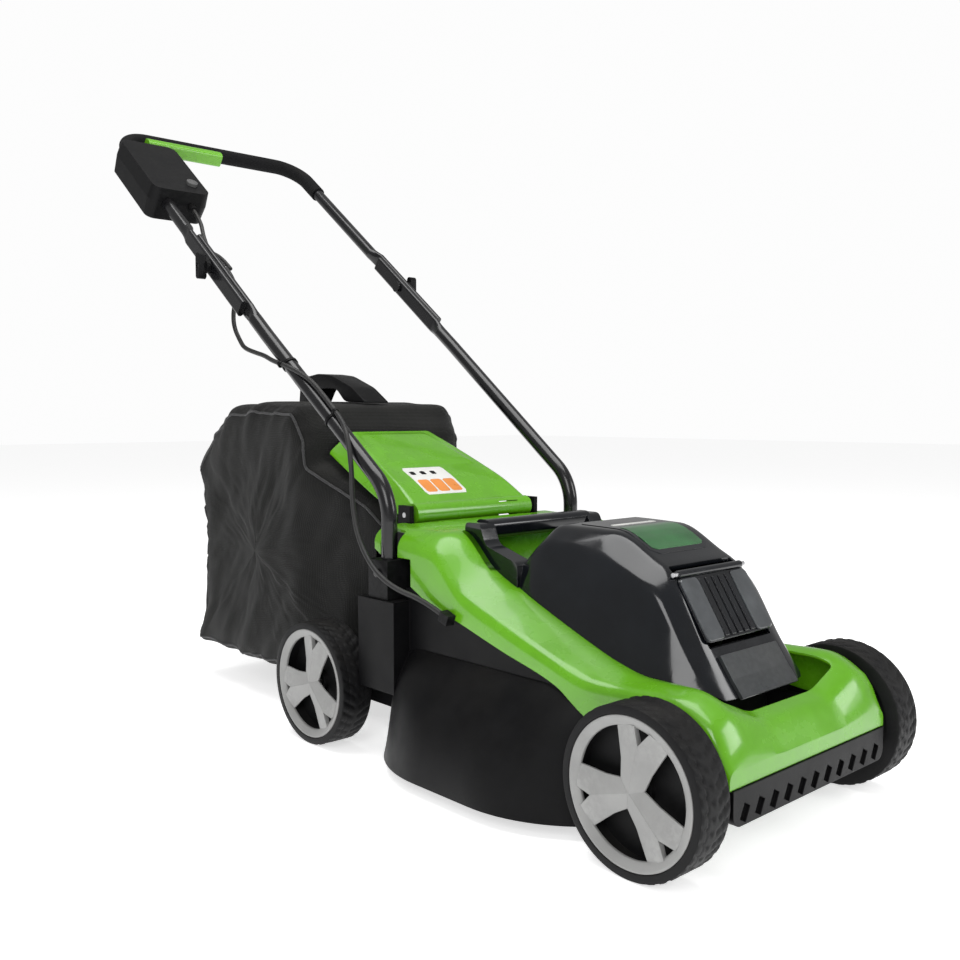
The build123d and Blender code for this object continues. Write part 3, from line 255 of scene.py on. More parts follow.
GREEN = (0.115, 0.37, 0.006)
green_plastic = finish("green_gloss_plastic", GREEN, 0.24, scale=900.0, depth=0.05, worn=0.25, dusty=0.05,
                       coat=0.35, patchy=0.06)
glossy_black = finish("glossy_black_plastic", (0.004, 0.005, 0.007), 0.12, scale=700.0, depth=0.03,
                      worn=0.3, dusty=0.03, coat=0.3, specular=0.4)
smoky_cover = finish("smoky_lid_plastic", (0.06, 0.065, 0.07), 0.14, scale=700.0, depth=0.03, dusty=0.03,
                     coat=0.6)
deck_plastic = finish("deck_black_plastic", (0.004, 0.004, 0.0045), 0.42, depth=0.3, worn=0.5, dusty=0.03,
                      specular=0.12)
tyre_plastic = finish("wheel_black_plastic", (0.009, 0.009, 0.0095), 0.5, depth=0.35, worn=0.6, dusty=0.07,
                      specular=0.14)
cover_grey = finish("wheel_cover_grey", (0.27, 0.27, 0.265), 0.36, depth=0.1, worn=0.4, dusty=0.12,
                    patchy=0.08)
tube_paint = finish("tube_black_paint", (0.005, 0.005, 0.006), 0.22, scale=500.0, depth=0.04, worn=0.0,
                    dusty=0.03, coat=0.3, specular=0.4)
foam = finish("grip_foam", (0.007, 0.007, 0.0075), 0.85, scale=2400.0, depth=0.6, worn=0.1, dusty=0.05,
              specular=0.15)
satin_black = finish("satin_black_plastic", (0.005, 0.005, 0.0055), 0.38, depth=0.25, worn=0.4, dusty=0.02,
                     specular=0.12)
button_grey = finish("button_grey_plastic", (0.08, 0.08, 0.08), 0.4, depth=0.15)
bag_cloth = finish("bag_woven_cloth", (0.0075, 0.0075, 0.007), 0.66, texture="woven_threads", scale=2600.0,
                   depth=0.5, worn=0.0, dusty=0.05, patchy=0.4, sheen=0.08, specular=0.15)
bag_tape = finish("bag_binding_tape", (0.02, 0.02, 0.021), 0.6, texture="woven_threads", scale=1800.0,
                  depth=0.6, worn=0.0, dusty=0.06, sheen=0.15)
steel = finish("bright_steel", (0.5, 0.5, 0.51), 0.3, texture="brushed_lines", scale=90.0, depth=0.15,
               metallic=1.0, dusty=0.1)
blade_steel = finish("blade_steel", (0.3, 0.3, 0.31), 0.36, texture="brushed_lines", scale=60.0, depth=0.25,
                     metallic=1.0, worn=0.8, worn_colour=(0.6, 0.6, 0.6), dusty=0.2)
copper = finish("winding_copper", (0.45, 0.2, 0.08), 0.35, texture="brushed_lines", scale=300.0, depth=0.4,
                metallic=1.0)
brass = finish("contact_brass", (0.6, 0.42, 0.15), 0.28, texture="brushed_lines", scale=120.0, metallic=1.0)
red_plastic = finish("key_red_plastic", (0.45, 0.02, 0.015), 0.35, depth=0.12)
plate_grey = finish("name_plate_grey", (0.035, 0.038, 0.04), 0.28, texture="brushed_lines", scale=70.0,
                    depth=0.08, metallic=0.3, patchy=0.3)
rubber = finish("cable_rubber", (0.012, 0.012, 0.012), 0.5, scale=1800.0, depth=0.2, worn=0.0, dusty=0.12)
label_white = finish("label_white", (0.75, 0.75, 0.72), 0.3, scale=500.0, depth=0.04, worn=0.0, coat=0.2,
                     patchy=0.04)
label_orange = finish("label_orange", (0.75, 0.26, 0.05), 0.3, scale=500.0, depth=0.04, worn=0.0, patchy=0.1)
label_green = finish("label_dark_green", (0.02, 0.12, 0.03), 0.15, scale=500.0, depth=0.03, worn=0.0,
                     coat=0.5)

CARRIED_OVER = {
    deck_plastic: ("deck_housing", "battery_tray", "controller", "battery_pack", "key_socket"),
    satin_black: ("front_grille", "handle_brackets", "switch_box_cover", "switch_box_base", "fold_knob_right",
                  "fold_knob_left", "run_switch", "blade_holder", "bag_mouth_frame", "axle_bushes",
                  "cable_gland_upper", "cable_gland_lower", "cable_ties"),
    tube_paint: ("lower_tube_right", "lower_tube_left", "upper_tube", "fold_bolts", "tube_screws"),
    foam: ("grip_sleeve",),
    green_plastic: ("bail_lever",),
    button_grey: ("start_button",),
    steel: ("front_axle", "rear_axle", "axle_nuts", "motor_can", "motor_bearings", "rotor_shaft",
            "rotor_core", "blade_washer", "blade_nut", "flap_rod", "flap_spring", "lid_pins", "bail_pin"),
    blade_steel: ("blade",),
    copper: ("motor_stator",),
    brass: ("battery_terminals",),
    red_plastic: ("safety_key",),
    plate_grey: ("name_plate",),
}
for material, names in CARRIED_OVER.items():
    for name in names:
        nodes[name].data.materials.clear()
        nodes[name].data.materials.append(material)
for piece in (cable_on_handle, cable_on_mower):
    piece.data.materials.clear()
    piece.data.materials.append(rubber)


# ---- Mesh helpers ------------------------------------------------------------------------------
def solid(name, points, faces, material=None, sharp=32):
    """A mesh from points in millimetres, smooth except across edges sharper than the given angle."""
    mesh = bpy.data.meshes.new(name)
    mesh.from_pydata([[c * MM for c in p] for p in points], [], faces)
    if material:
        mesh.materials.append(material)
    tidy(mesh, sharp)
    piece = bpy.data.objects.new(name, mesh)
    scene.collection.objects.link(piece)
    return piece


def tidy(mesh, sharp=32):
    """Joins doubled points, turns every face outwards and shades the mesh smooth up to the sharp angle."""
    work = bmesh.new()
    work.from_mesh(mesh)
    bmesh.ops.remove_doubles(work, verts=work.verts, dist=0.00002)
    bmesh.ops.recalc_face_normals(work, faces=work.faces)
    work.to_mesh(mesh)
    work.free()
    mesh.shade_smooth()
    mesh.set_sharp_from_angle(angle=math.radians(sharp))


def strip(rings, closed=True, caps=True):
    """Points and faces of a skin over rings that all have the same number of points."""
    count = len(rings[0])
    points = [p for ring in rings for p in ring]
    faces = []
    for row in range(len(rings) - 1):
        for i in range(count if closed else count - 1):
            a, b = row * count + i, row * count + (i + 1) % count
            faces.append((a, b, b + count, a + count))
    if caps:
        faces.append(tuple(range(count))[::-1])
        faces.append(tuple(range((len(rings) - 1) * count, len(rings) * count)))
    return points, faces


def settle(piece):
    """Makes a piece's modifiers part of its mesh."""
    bpy.context.view_layer.update()
    shaped = piece.evaluated_get(bpy.context.evaluated_depsgraph_get())
    mesh = bpy.data.meshes.new_from_object(shaped)
    piece.modifiers.clear()
    piece.data = mesh


def combine(piece, tool, operation="DIFFERENCE"):
    """Cuts a tool from a piece or joins the two, and uses the tool up."""
    modifier = piece.modifiers.new(operation.lower(), "BOOLEAN")
    modifier.object = tool
    modifier.operation = operation
    modifier.solver = "EXACT"
    settle(piece)
    bpy.data.objects.remove(tool)


def rounded(line, radius, steps=4):
    """An open line with its corners turned at about this radius."""
    line = [Vector(p) for p in line]
    turned = [line[0]]
    for before, corner, after in zip(line, line[1:], line[2:]):
        start = corner + (before - corner).normalized() * min(radius, (before - corner).length * 0.48)
        end = corner + (after - corner).normalized() * min(radius, (after - corner).length * 0.48)
        for i in range(steps + 1):
            t = i / steps
            turned.append(start * (1 - t) ** 2 + corner * 2 * t * (1 - t) + end * t * t)
    turned.append(line[-1])
    return turned


def rounded_loop(line, radius, steps=4):
    """A closed line with its corners turned at about this radius."""
    return rounded([line[-1], *line, line[0]], radius, steps)[1:-1]


def block(name, x, y, z, edge=0.0):
    """A block between two limits on each axis, with its upright edges turned at a radius."""
    corners = [(x[0], y[0]), (x[1], y[0]), (x[1], y[1]), (x[0], y[1])]
    outline = rounded_loop(corners, edge, 5) if edge else [Vector(c) for c in corners]
    return solid(name, *strip([[(p[0], p[1], level) for p in outline] for level in z]))


def bar(name, outline, x, edge=0.0, steps=4):
    """A side outline in Y and Z carried across between two X limits, its corners turned at a radius."""
    line = rounded_loop(outline, edge, steps) if edge else [Vector(p) for p in outline]
    return solid(name, *strip([[(level, p[0], p[1]) for p in line] for level in x]))


def circle(y, z, radius, count):
    """Points round a circle in a side view."""
    turns = [2 * math.pi * i / count for i in range(count)]
    return [(y + radius * math.cos(t), z + radius * math.sin(t)) for t in turns]


def filled_in(rows, step):
    """Table rows joined by smooth curves that never overshoot, at even steps of their first number."""
    places = [row[0] for row in rows]
    columns = []
    for k in range(1, len(rows[0])):
        values = [row[k] for row in rows]
        rise = [(b - a) / (q - p) for a, b, p, q in zip(values, values[1:], places, places[1:])]
        slopes = [rise[0]]
        slopes += [2 * a * b / (a + b) if a * b > 0 else 0.0 for a, b in zip(rise, rise[1:])]
        columns.append((values, slopes + [rise[-1]]))
    full = []
    for i in range(len(rows) - 1):
        reach = places[i + 1] - places[i]
        count = max(1, round(abs(reach) / step))
        for j in range(count + (i == len(rows) - 2)):
            t = j / count
            row = [places[i] + reach * t]
            for values, slopes in columns:
                row.append(
                    values[i] * (1 + 2 * t) * (1 - t) ** 2 + slopes[i] * reach * t * (1 - t) ** 2
                    + values[i + 1] * t * t * (3 - 2 * t) + slopes[i + 1] * reach * t * t * (t - 1)
                )
            full.append(row)
    return full


def put(piece, body, replaced, material=None):
    """Gives a piece its body, the CAD nodes that it stands for and its finish."""
    if material:
        piece.data.materials.clear()
        piece.data.materials.append(material)
    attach(piece, body)
    if replaced:
        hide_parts(*replaced)
    return piece


# ---- Green top cover ---------------------------------------------------------------------------
HOOD_ROWS = (
    (-100, 262, 165, 278, 150, 290, 60, 291), (-205, 207, 165, 268, 140, 288, 60, 290),
    (-262, 191, 165, 222, 122, 246, 60, 246), (-327, 172, 165, 198, 118, 218, 60, 216),
    (-410, 149, 165, 172, 117, 185, 60, 180), (-450, 122, 160, 160, 117, 171, 60, 165),
    (-482, 112, 152, 158, 118, 165, 60, 152), (-547, 105, 150, 160, 118, 167, 58, 140),
    (-590, 94, 150, 140, 120, 150, 60, 131), (-610, 88, 147, 104, 120, 112, 60, 104),
)
SHELL = 3.0


def hood_volume(name, inset=0.0):
    """The top cover as a full volume, or the hollow under it when inset."""
    rings = []
    rows = filled_in(HOOD_ROWS, 6)
    for index, (y, low, side, shoulder, crown_half, crown, valley_half, valley) in enumerate(rows):
        if inset:
            y += 5 if index == 0 else (inset if index == len(rows) - 1 else 0)
        half = [
            (valley_half, valley - inset), (crown_half - 0.4 * inset, crown - inset),
            (side - inset, shoulder - 0.6 * inset), (side - inset, low - (60 if inset else 0)),
        ]
        line = rounded([(-p[0], p[1]) for p in reversed(half)] + half, 11)
        rings.append([(p[0], y, p[1]) for p in line])
    return solid(name, *strip(rings))


top_cover = hood_volume("green_top_cover")
hollow = hood_volume("hollow", SHELL)
tray_room = block("tray_room", (-119, 119), (-304, -201), (243, 400), 14)
combine(hollow, tray_room)
combine(top_cover, hollow)
for cutter in (
    block("pocket", (-116, 116), (-301, -204), (246, 400), 11),
    block("housing_seat", (-106, 106), (-572, -308), (100, 300), 8),
    block("hinge_gap", (-117.5, 117.5), (-114, -80), (230, 330), 4),
    block("chute_gap", (-119, 119), (-159, -61), (173, 287)),
    block("bracket_gap_right", (-197, -136), (-171, -89), (185, 255)),
    block("bracket_gap_left", (136, 197), (-171, -89), (185, 255)),
    block("tube_gap_right", (-191, -149), (-146, -112), (235, 320), 6),
    block("tube_gap_left", (149, 191), (-146, -112), (235, 320), 6),
):
    combine(top_cover, cutter)
tidy(top_cover.data, 30)
put(top_cover, "mower", ["top_cover"], green_plastic)

# ---- Motor and battery housing -----------------------------------------------------------------
BODY_ROWS = (
    (-292, 190, 98, 256, 72, 262), (-330, 180, 96, 284, 70, 303), (-398, 160, 91, 277, 66, 302),
    (-455, 140, 88, 257, 62, 276), (-477, 130, 87, 244, 62, 263), (-523, 122, 82, 180, 60, 192),
    (-545, 122, 78, 154, 58, 160), (-562, 122, 72, 134, 56, 138),
)


def housing_volume(name, inset=0.0):
    """The motor housing as a full volume, or the room inside it when inset."""
    rings = []
    for y, base, crease_half, crease, top_half, top in filled_in(BODY_ROWS, 5):
        base_half = 114 - 14 * min(1, max(0, (-523 - y) / 22)) - inset
        place = y
        if inset:
            place = y - inset if y > -300 else y + (inset if y <= -455 else 0)
        half = [
            (top_half - 0.5 * inset, top - inset), (crease_half - inset, crease - 0.7 * inset),
            (base_half, base - (60 if inset else 0)),
        ]
        line = rounded([(-p[0], p[1]) for p in reversed(half)] + half, 8)
        rings.append([(p[0], place, p[1]) for p in line])
    return solid(name, *strip(rings))


housing = housing_volume("black_motor_housing")
RIDGE = [(-206, 232), (-206, 299), (-232, 299), (-242, 274), (-296, 258), (-296, 215), (-250, 215)]
for tool in (
    bar("ridge_right", RIDGE, (-108, -84), 7),
    bar("ridge_left", RIDGE, (84, 108), 7),
    bar("carry_bar", [(-232, 278), (-206, 278), (-206, 302), (-232, 302)], (-90, 90), 9, 5),
):
    combine(housing, tool, "UNION")
combine(housing, housing_volume("room", SHELL))
combine(housing, block("bay_mouth", (-57, 57), (-535, -469), (190, 290), 5))
combine(housing, hood_volume("under"))
combine(housing, block("below", (-130, 130), (-620, -50), (60, 145)))
tidy(housing.data, 30)
put(housing, "mower", ["battery_housing"], glossy_black)



def top_patch(name, x, y, lift, material, edge=6.0):
    """A thin patch that follows the top of the motor housing between two X and two Y limits."""
    count = 14
    table = filled_in(BODY_ROWS, 1)
    rings = []
    for level in (lift - 0.9, lift):
        for j in range(count + 1):
            place = y[0] + (y[1] - y[0]) * j / count
            top = min(table, key=lambda row: abs(row[0] - place))[5]
            along = min(j, count - j) / count * (y[1] - y[0])
            pull = edge - math.sqrt(max(0.0, edge ** 2 - max(0.0, edge - abs(along)) ** 2))
            across = [x[0] + pull + (x[1] - x[0] - 2 * pull) * i / 10 for i in range(11)]
            rings.append([(p, place, top + level) for p in across])
    half = len(rings) // 2
    lower, upper = rings[:half], rings[half:]
    loops = [low + high[::-1] for low, high in zip(lower, upper)]
    return put(solid(name, *strip(loops), material), "mower", [])


top_patch("housing_top_inset", (-52, 52), (-450, -336), 0.7, glossy_black, 10)
top_patch("green_top_label", (-46, 46), (-444, -392), 1.2, label_green)
top_patch("pale_label_stripe", (-38, 38), (-382, -374), 1.2, label_white, 3)

# ---- Battery lid -------------------------------------------------------------------------------
LID_TILT = math.atan2(260 - 192, -480 + 523)
LID_LENGTH = math.hypot(68, 43)


def lid_point(x, down, lift):
    """A point on the battery lid: down it from its hinge, and out from the motor housing's front."""
    return (x, -480 - down * math.cos(LID_TILT) - lift * math.sin(LID_TILT),
            260 - down * math.sin(LID_TILT) + lift * math.cos(LID_TILT))


def lid_panel(name, x, down, lift, bow, material, edge=6.0):
    """A panel of the lid between two X limits, slightly bowed outwards, with rounded corners."""
    outline = rounded_loop([(x[0], down[0]), (x[1], down[0]), (x[1], down[1]), (x[0], down[1])], edge, 4)
    rings = []
    for level, pull in ((lift[0], 0.0), (lift[1] - 0.7, 0.0), (lift[1], 0.8)):
        middle = (sum(x) / 2, sum(down) / 2)
        ring = []
        for p in outline:
            px = p[0] - math.copysign(pull, p[0] - middle[0])
            pd = p[1] - math.copysign(pull, p[1] - middle[1])
            ring.append(lid_point(px, pd, level + bow * (1 - (px / 61) ** 2)))
        rings.append(ring)
    piece = solid(name, *strip(rings, caps=False))
    count = len(outline)
    work = bmesh.new()
    work.from_mesh(piece.data)
    work.verts.ensure_lookup_table()
    for start in (0, 2 * count):
        cap = work.faces.new([work.verts[i] for i in range(start, start + count)])
        bmesh.ops.triangulate(work, faces=[cap])
    work.to_mesh(piece.data)
    work.free()
    tidy(piece.data, 30)
    return put(piece, "lid", [], material)


lid_back = lid_panel("lid_back_plate", (-61, 61), (4, LID_LENGTH - 3), (1.6, 3.4), 0.0, glossy_black, 8)
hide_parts("battery_lid")
for side, hand in ((-1, "right"), (1, "left")):
    limits = sorted((side * 30, side * 60))
    lid_panel(f"lid_side_strap_{hand}", limits, (6, LID_LENGTH - 4), (3.3, 5.2), 0.6, smoky_cover, 6)
for index in range(5):
    x = -24 + 12 * index
    down = (8, LID_LENGTH - 6)
    lid_panel(f"lid_rib_{index + 1}", (x - 4.6, x + 4.6), down, (3.3, 4.9), 0.4, glossy_black, 2)
lid_barrel = bar("lid_hinge_barrel", circle(-482.5, 261.6, 4.4, 18), (-57, 57))
put(lid_barrel, "lid", [], glossy_black)

# ---- Discharge flap ----------------------------------------------------------------------------
FLAP_ROWS = ((-97, 103, 314, 108, 292), (-60, 98, 338, 108, 304), (-22, 92, 357, 108, 320),
             (30, 82, 382, 108, 346), (81, 73, 404, 108, 373))


def flap_volume(name, inset=0.0):
    """The flap as a full volume with a raised panel near its top, or the space beneath it when inset."""
    rings = []
    rows = filled_in(FLAP_ROWS, 4)
    for index, (y, top_half, top, edge_half, edge) in enumerate(rows):
        rise = 0.0 if inset else 2.2 * min(1, max(0, (y + 18) / 5)) * min(1, max(0, (74 - y) / 6))
        place = y + (0 if not inset else (-3 if index == 0 else 0))
        panel = top_half - 14
        half = [(panel - 6, top - inset + rise), (panel, top - inset), (top_half - 0.6 * inset, top - inset),
                (edge_half - inset, edge + 4), (edge_half - inset, edge - (40 if inset else 0))]
        line = rounded([(-p[0], p[1]) for p in reversed(half)] + half, 7, 3)
        rings.append([(p[0], place, p[1]) for p in line])
    return solid(name, *strip(rings))


flap = flap_volume("green_discharge_flap")
combine(flap, flap_volume("flap_space", SHELL))
combine(flap, bar("barrel", circle(-97, 300, 14, 32), (-103, 103)), "UNION")
combine(flap, block("spring_gap", (42, 78), (-108, -80), (285, 309.5)))
tidy(flap.data, 30)
put(flap, "flap", ["discharge_flap"], green_plastic)


def flap_label(name, x, y, lift, material):
    """A thin label lying on the flap between two X and two Y limits."""
    table = filled_in(FLAP_ROWS, 1)
    loops = []
    for j in range(13):
        place = y[0] + (y[1] - y[0]) * j / 12
        top = min(table, key=lambda row: abs(row[0] - place))[2]
        pull = 3.0 if j in (0, 12) else 0.0
        across = [x[0] + pull + (x[1] - x[0] - 2 * pull) * i / 6 for i in range(7)]
        under = [(p, place, top + lift - 1.2) for p in across]
        loops.append(under + [(p, place, top + lift) for p in reversed(across)])
    return put(solid(name, *strip(loops), material), "flap", [])


flap_label("label_on_flap", (-66, 6), (-84, -26), 0.5, label_white)
for index in range(3):
    left = -62 + 22 * index
    flap_label(f"label_picture_{index + 1}", (left, left + 19), (-80, -56), 0.8, label_orange)
for index in range(3):
    left = -60 + 18 * index
    flap_label(f"label_mark_{index + 1}", (left, left + 8), (-44, -36), 0.8, satin_black)

# ---- Wheels ------------------------------------------------------------------------------------
AXLES = {"front": (-540.0, 82.0), "rear": (-9.0, 80.0)}


def wheel(end, hand, side):
    """A moulded wheel with shallow chevron lugs round its tread."""
    axle_y, radius = AXLES[end]
    cover_edge = radius - 9.7
    ledge = cover_edge - 6
    tread = [(206.5 - 2.6 - 39.3 * i / 20, radius) for i in range(21)]
    outer_side = [(162, 6), (190, 6), (190, 15), (184, 15), (184, ledge), (199, ledge),
                  (199, cover_edge + 0.2), (205.6, cover_edge + 0.2), (206.5, cover_edge + 1.2),
                  (206.5, radius - 3), (205.8, radius - 1)]
    inner_side = [(162.7, radius - 1), (162, radius - 3), (162, ledge), (179, ledge), (179, 15), (162, 15)]
    line = outer_side + tread + inner_side
    count = 216
    rings = []
    for k in range(count):
        turn = 2 * math.pi * k / count
        ring = []
        for x, r in line:
            if r == radius:
                across = abs(x - 184.2) / 19.6
                phase = (k / count * 36 + 0.9 * across) % 1.0
                groove = max(0.0, 1 - abs(phase - 0.5) / 0.22)
                shoulder = max(0.0, 1 - abs(across - 0.62) / 0.06)
                r -= 1.3 * min(1.0, 2.2 * groove) * (across > 0.16) + 0.8 * shoulder
            ring.append((side * x, axle_y + r * math.cos(turn), radius + r * math.sin(turn)))
        rings.append(ring)
    points, faces = strip(rings + [rings[0]], caps=False)
    piece = solid(f"wheel_body_{end}_{hand}", points, faces, tyre_plastic, 28)
    return put(piece, f"wheel_{end}_{hand}", [f"wheel_{end}_{hand}"])


def wheel_star(end, hand, side):
    """A grey wheel cover: a dished ring and a faceted three-armed star with a notch at each tip."""
    axle_y, radius = AXLES[end]
    edge = radius - 9.7
    points, faces = [], []

    def put_at(r, angle, x):
        turn = math.radians(angle)
        points.append((side * x, axle_y + r * math.cos(turn), radius + r * math.sin(turn)))
        return len(points) - 1

    ring_line = rounded_loop([(edge, 199.2), (edge, 206.3), (edge - 2.2, 206.4), (edge - 8.6, 203.6),
                              (edge - 10.2, 202.4), (edge - 10.2, 199.2)], 0.7, 2)
    rings = []
    for k in range(120):
        rings.append([put_at(p[0], 3 * k, p[1]) for p in ring_line])
    count = len(ring_line)
    for k in range(120):
        for i in range(count):
            j = (i + 1) % count
            faces.append((rings[k][i], rings[k][j], rings[(k + 1) % 120][j], rings[(k + 1) % 120][i]))
    tip = edge - 7.5
    for arm in (103, 223, 343):
        for way in (1, -1):
            spots = {
                "middle": (0.01, arm, 205.6), "ridge": (0.74 * tip, arm, 206.2),
                "valley": (16.5, arm + way * 60, 201.6), "inner": (0.5 * tip, arm + way * 35, 201.2),
                "outer": (tip, arm + way * 28, 201.6), "notch": (tip, arm + way * 8, 204.8),
            }
            top = {key: put_at(*spot) for key, spot in spots.items()}
            low = {key: put_at(r, angle, 199.4 if key != "middle" else 199.3)
                   for key, (r, angle, x) in spots.items()}
            facets = [("middle", "valley", "inner"), ("middle", "inner", "ridge"),
                      ("ridge", "inner", "outer"), ("ridge", "outer", "notch")]
            faces += [tuple(top[key] for key in facet) for facet in facets]
            faces += [tuple(low[key] for key in reversed(facet)) for facet in facets]
            rim = ["middle", "valley", "inner", "outer", "notch", "ridge", "middle"]
            faces += [(top[a], low[a], low[b], top[b]) for a, b in zip(rim, rim[1:])]
    piece = solid(f"star_cover_{end}_{hand}", points, faces, cover_grey, 12)
    return put(piece, f"wheel_{end}_{hand}", [f"wheel_cover_{end}_{hand}"])


for end in AXLES:
    for side, hand in ((-1, "right"), (1, "left")):
        wheel(end, hand, side)
        wheel_star(end, hand, side)

# ---- Grass bag ---------------------------------------------------------------------------------
BAG_OUTLINE = [
    (-70, 98), (30, 96), (80, 70), (150, 52), (300, 50), (425, 53), (404, 100), (390, 200), (398, 280),
    (420, 352), (362, 411), (290, 444), (200, 450), (112, 446), (90, 404), (86, 362), (30, 336),
    (-22, 310), (-70, 270),
]


def even_points(line, step):
    """The open line with extra points so that none are further apart than the step."""
    full = []
    for a, b in zip(line, line[1:]):
        a, b = Vector(a), Vector(b)
        count = max(1, math.ceil((b - a).length / step))
        full += [a.lerp(b, i / count) for i in range(count)]
    return full + [Vector(line[-1])]


def bag_half_width(y):
    """Half the bag's width at a distance behind the middle: narrow at its mouth, full behind the tubes."""
    for (y0, w0), (y1, w1) in zip(((-80, 106), (-40, 106), (40, 126), (120, 150)),
                                  ((-40, 106), (40, 126), (120, 150), (900, 150))):
        if y0 <= y <= y1:
            return w0 + (w1 - w0) * (y - y0) / (y1 - y0)
    return 106


def wrinkles(place, seed, size, reach):
    """Soft folds: noise drawn out along the way that the cloth hangs."""
    x, y, z = place
    lean = Vector((x / size * 0.6 + seed, (y + 0.55 * z) / size, (z - 0.3 * y) / (size * 3.4)))
    return reach * noise.fractal(lean, 0.8, 2.1, 4)


BAND_RINGS = 11     # rings from the middle of the band to the edge of a side panel
PANEL_RINGS = 16
SEAM_RING = 8
SQUARENESS = 0.15   # the lower, the squarer the bag's edges


def bag_skin(outline, half_width, seed, side_sag):
    """A sagging cloth shell: a band round the side outline, and two panels that meet it at rounded seams."""
    centre = Vector((225, 225))
    turns = [math.pi / 2 * k / 14 for k in range(BAND_RINGS + 1)]
    band = [(math.sin(t) ** SQUARENESS if t else 0.0, math.cos(t) ** SQUARENESS) for t in turns]
    half = band + [(1.0, band[-1][1] * (1 - k / PANEL_RINGS) + 0.002) for k in range(1, PANEL_RINGS + 1)]
    rings = []
    for way, (across, scale) in [(-1, pair) for pair in reversed(half)] + [(1, pair) for pair in half[1:]]:
        ring = []
        for p in outline:
            y, z = centre + (p - centre) * scale
            reach = half_width(y)
            inside = max(0.0, 1 - scale / 0.9)
            settled = 1.0 if y > -45 else 0.0
            place = (way * reach, y, z)
            fold = settled * (wrinkles(place, seed, 46, 5.0) + wrinkles(place, seed + 7, 17, 1.4))
            sag = side_sag * math.sin(min(1.0, inside) * math.pi) * (0.6 + 0.4 * math.cos((z - 300) / 90))
            x = way * across * reach
            if across > 0.9:
                x -= way * settled * (max(0.0, sag) + 2.5 + fold)
            outward = (p - centre).normalized() * settled * (2.0 + fold) * (1 - min(1.0, inside * 1.6))
            ring.append((x, y - outward.x, z - outward.y))
        rings.append(ring)
    return rings


bag_line = even_points(rounded(BAG_OUTLINE, 9, 3), 11)
bag_line = [p for i, p in enumerate(bag_line) if i == 0 or (p - bag_line[i - 1]).length > 0.8]
mouth_start = len(bag_line) - 1
bag_line += even_points([bag_line[-1], bag_line[0]], 11)[1:-1]
bag_rings = bag_skin(bag_line, bag_half_width, 3.1, 8.0)


def hem_lift(y, z):
    """How far the cloth stands out where the upper panel laps over the lower one along a wavy hem."""
    line_z = 92 + (y - 40) * 0.78 + 9 * math.sin(y / 17) + 5 * math.sin(y / 7.3 + 1)
    return 3.2 * max(0.0, min(1.0, (z - line_z + 3) / 6))


lifted = []
for ring in bag_rings:
    row = []
    for x, y, z in ring:
        if abs(x) > 0.72 * bag_half_width(y) and y > 20:
            x += math.copysign(hem_lift(y, z), x)
        row.append((x, y, z))
    lifted.append(row)
bag_points, bag_faces = strip(lifted, caps=False)
columns, middle_ring = len(bag_line), len(lifted) // 2
bag_faces = [
    face for index, face in enumerate(bag_faces)
    if index % columns < mouth_start
    or not middle_ring - BAND_RINGS <= index // columns < middle_ring + BAND_RINGS
]
bag_cloth_piece = solid("grass_bag_cloth", bag_points, bag_faces, bag_cloth, 40)
smoothing = bag_cloth_piece.modifiers.new("smoother", "SUBSURF")
smoothing.levels = 1
smoothing.render_levels = 1
wall = bag_cloth_piece.modifiers.new("wall", "SOLIDIFY")
wall.thickness = 0.0014
wall.offset = -1
settle(bag_cloth_piece)
tidy(bag_cloth_piece.data, 45)
put(bag_cloth_piece, "bag", ["grass_bag"])


def tape(name, path, radius, body, material):
    """A round band along a path of points."""
    rings = []
    for index, here in enumerate(path):
        before, after = path[max(0, index - 1)], path[min(len(path) - 1, index + 1)]
        along = (Vector(after) - Vector(before)).normalized()
        first = along.cross(Vector((0, 0, 1)))
        first = first.normalized() if first.length > 0.05 else Vector((1, 0, 0))
        second = along.cross(first).normalized()
        turns = [a * math.pi / 5 for a in range(10)]
        rings.append([Vector(here) + (first * math.cos(t) + second * math.sin(t)) * radius for t in turns])
    return put(solid(name, *strip(rings), material, 40), body, [])


for side, hand in ((-1, "right"), (1, "left")):
    seam_line = lifted[middle_ring + side * SEAM_RING][:mouth_start + 1]
    tape(f"bag_seam_{hand}", seam_line, 1.9, "bag", bag_tape)

handle_outline = [(112, 446), (150, 470), (203, 489), (240, 493), (272, 489), (292, 472),
                  (296, 441.251), (290, 444), (270, 445.334), (252, 470), (190, 468), (168, 448.546)]
bag_handle = bar("bag_carry_handle", handle_outline, (-22, 22), 7, 4)
softened = bag_handle.modifiers.new("softened", "BEVEL")
softened.width = 0.003
softened.segments = 3
softened.limit_method = "ANGLE"
softened.angle_limit = math.radians(50)
settle(bag_handle)
tidy(bag_handle.data, 40)
put(bag_handle, "bag", ["bag_handle"], satin_black)

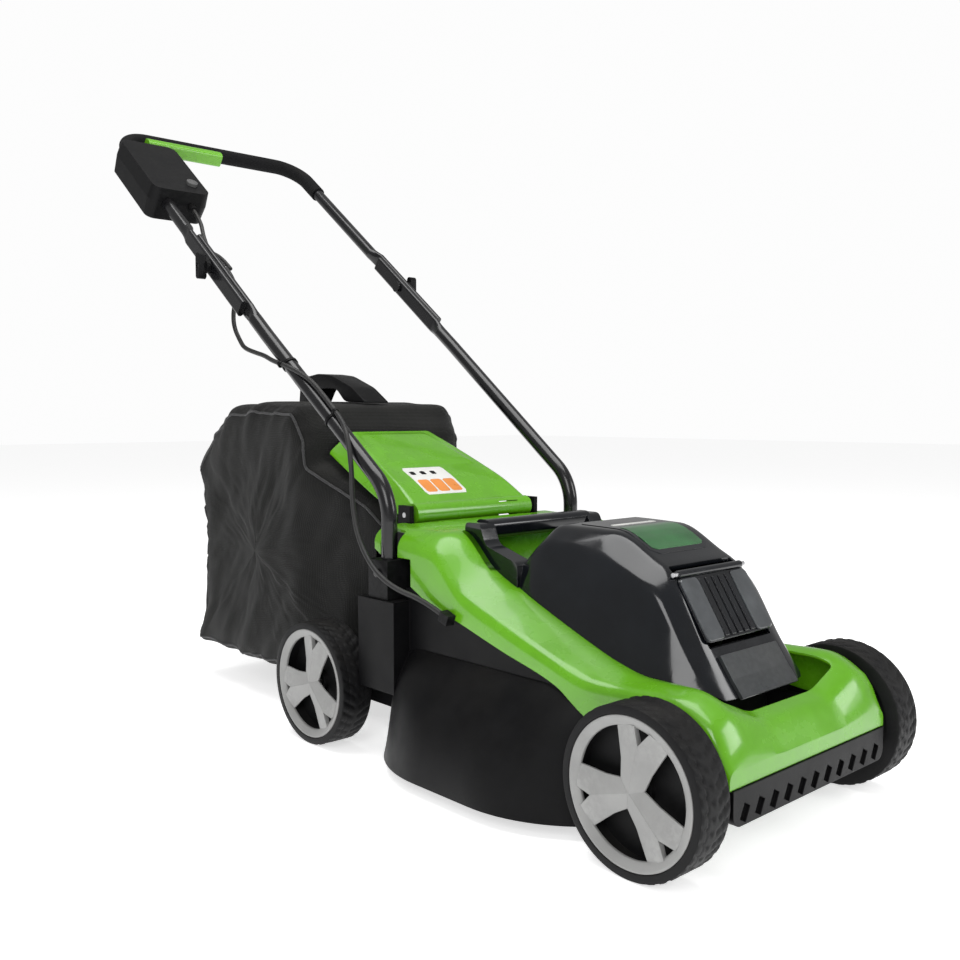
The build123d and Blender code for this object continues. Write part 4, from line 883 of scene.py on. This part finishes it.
# ---- Floor and light ---------------------------------------------------------------------------
floor_mesh = bpy.data.meshes.new("floor")
floor_mesh.from_pydata([(-14, -14, 0), (14, -14, 0), (14, 14, 0), (-14, 14, 0)], [], [(0, 1, 2, 3)])
floor = bpy.data.objects.new("floor", floor_mesh)
scene.collection.objects.link(floor)
pale = bpy.data.materials.new("pale_floor")
pale.use_nodes = True
floor_shader = pale.node_tree.nodes["Principled BSDF"]
floor_shader.inputs["Base Color"].default_value = (0.93, 0.93, 0.93, 1)
floor_shader.inputs["Roughness"].default_value = 0.9
floor_shader.inputs["Emission Color"].default_value = (1, 1, 1, 1)
floor_shader.inputs["Emission Strength"].default_value = 0.62
floor_shader.inputs["Specular IOR Level"].default_value = 0.1
floor_mesh.materials.append(pale)

world = bpy.data.worlds.new("studio")
scene.world = world
world.use_nodes = True
world.node_tree.nodes["Background"].inputs["Color"].default_value = (1, 1, 1, 1)
backdrop = world.node_tree.nodes.new("ShaderNodeMapRange")
backdrop.inputs["To Min"].default_value = 0.34
backdrop.inputs["To Max"].default_value = 0.98
seen = world.node_tree.nodes.new("ShaderNodeLightPath")
world.node_tree.links.new(seen.outputs["Is Camera Ray"], backdrop.inputs["Value"])
world.node_tree.links.new(backdrop.outputs[0], world.node_tree.nodes["Background"].inputs["Strength"])


def soft_box(name, place, target, size, power):
    """A large soft area light facing a point."""
    lamp = bpy.data.lights.new(name, "AREA")
    lamp.shape = "RECTANGLE"
    lamp.size, lamp.size_y = size
    lamp.energy = power
    light = bpy.data.objects.new(name, lamp)
    light.location = place
    light.rotation_mode = "QUATERNION"
    light.rotation_quaternion = (Vector(target) - Vector(place)).to_track_quat("-Z", "Y")
    scene.collection.objects.link(light)


soft_box("overhead", (-0.2, -0.2, 2.6), (0, 0, 0.2), (2.2, 1.6), 46)
soft_box("front_right", (-2.4, -1.9, 1.9), (0, -0.1, 0.2), (1.4, 1.6), 34)
soft_box("front_left", (1.9, -2.6, 1.5), (0, -0.3, 0.2), (1.0, 1.4), 24)
scene.view_settings.view_transform = "Standard"

bpy.context.view_layer.update()
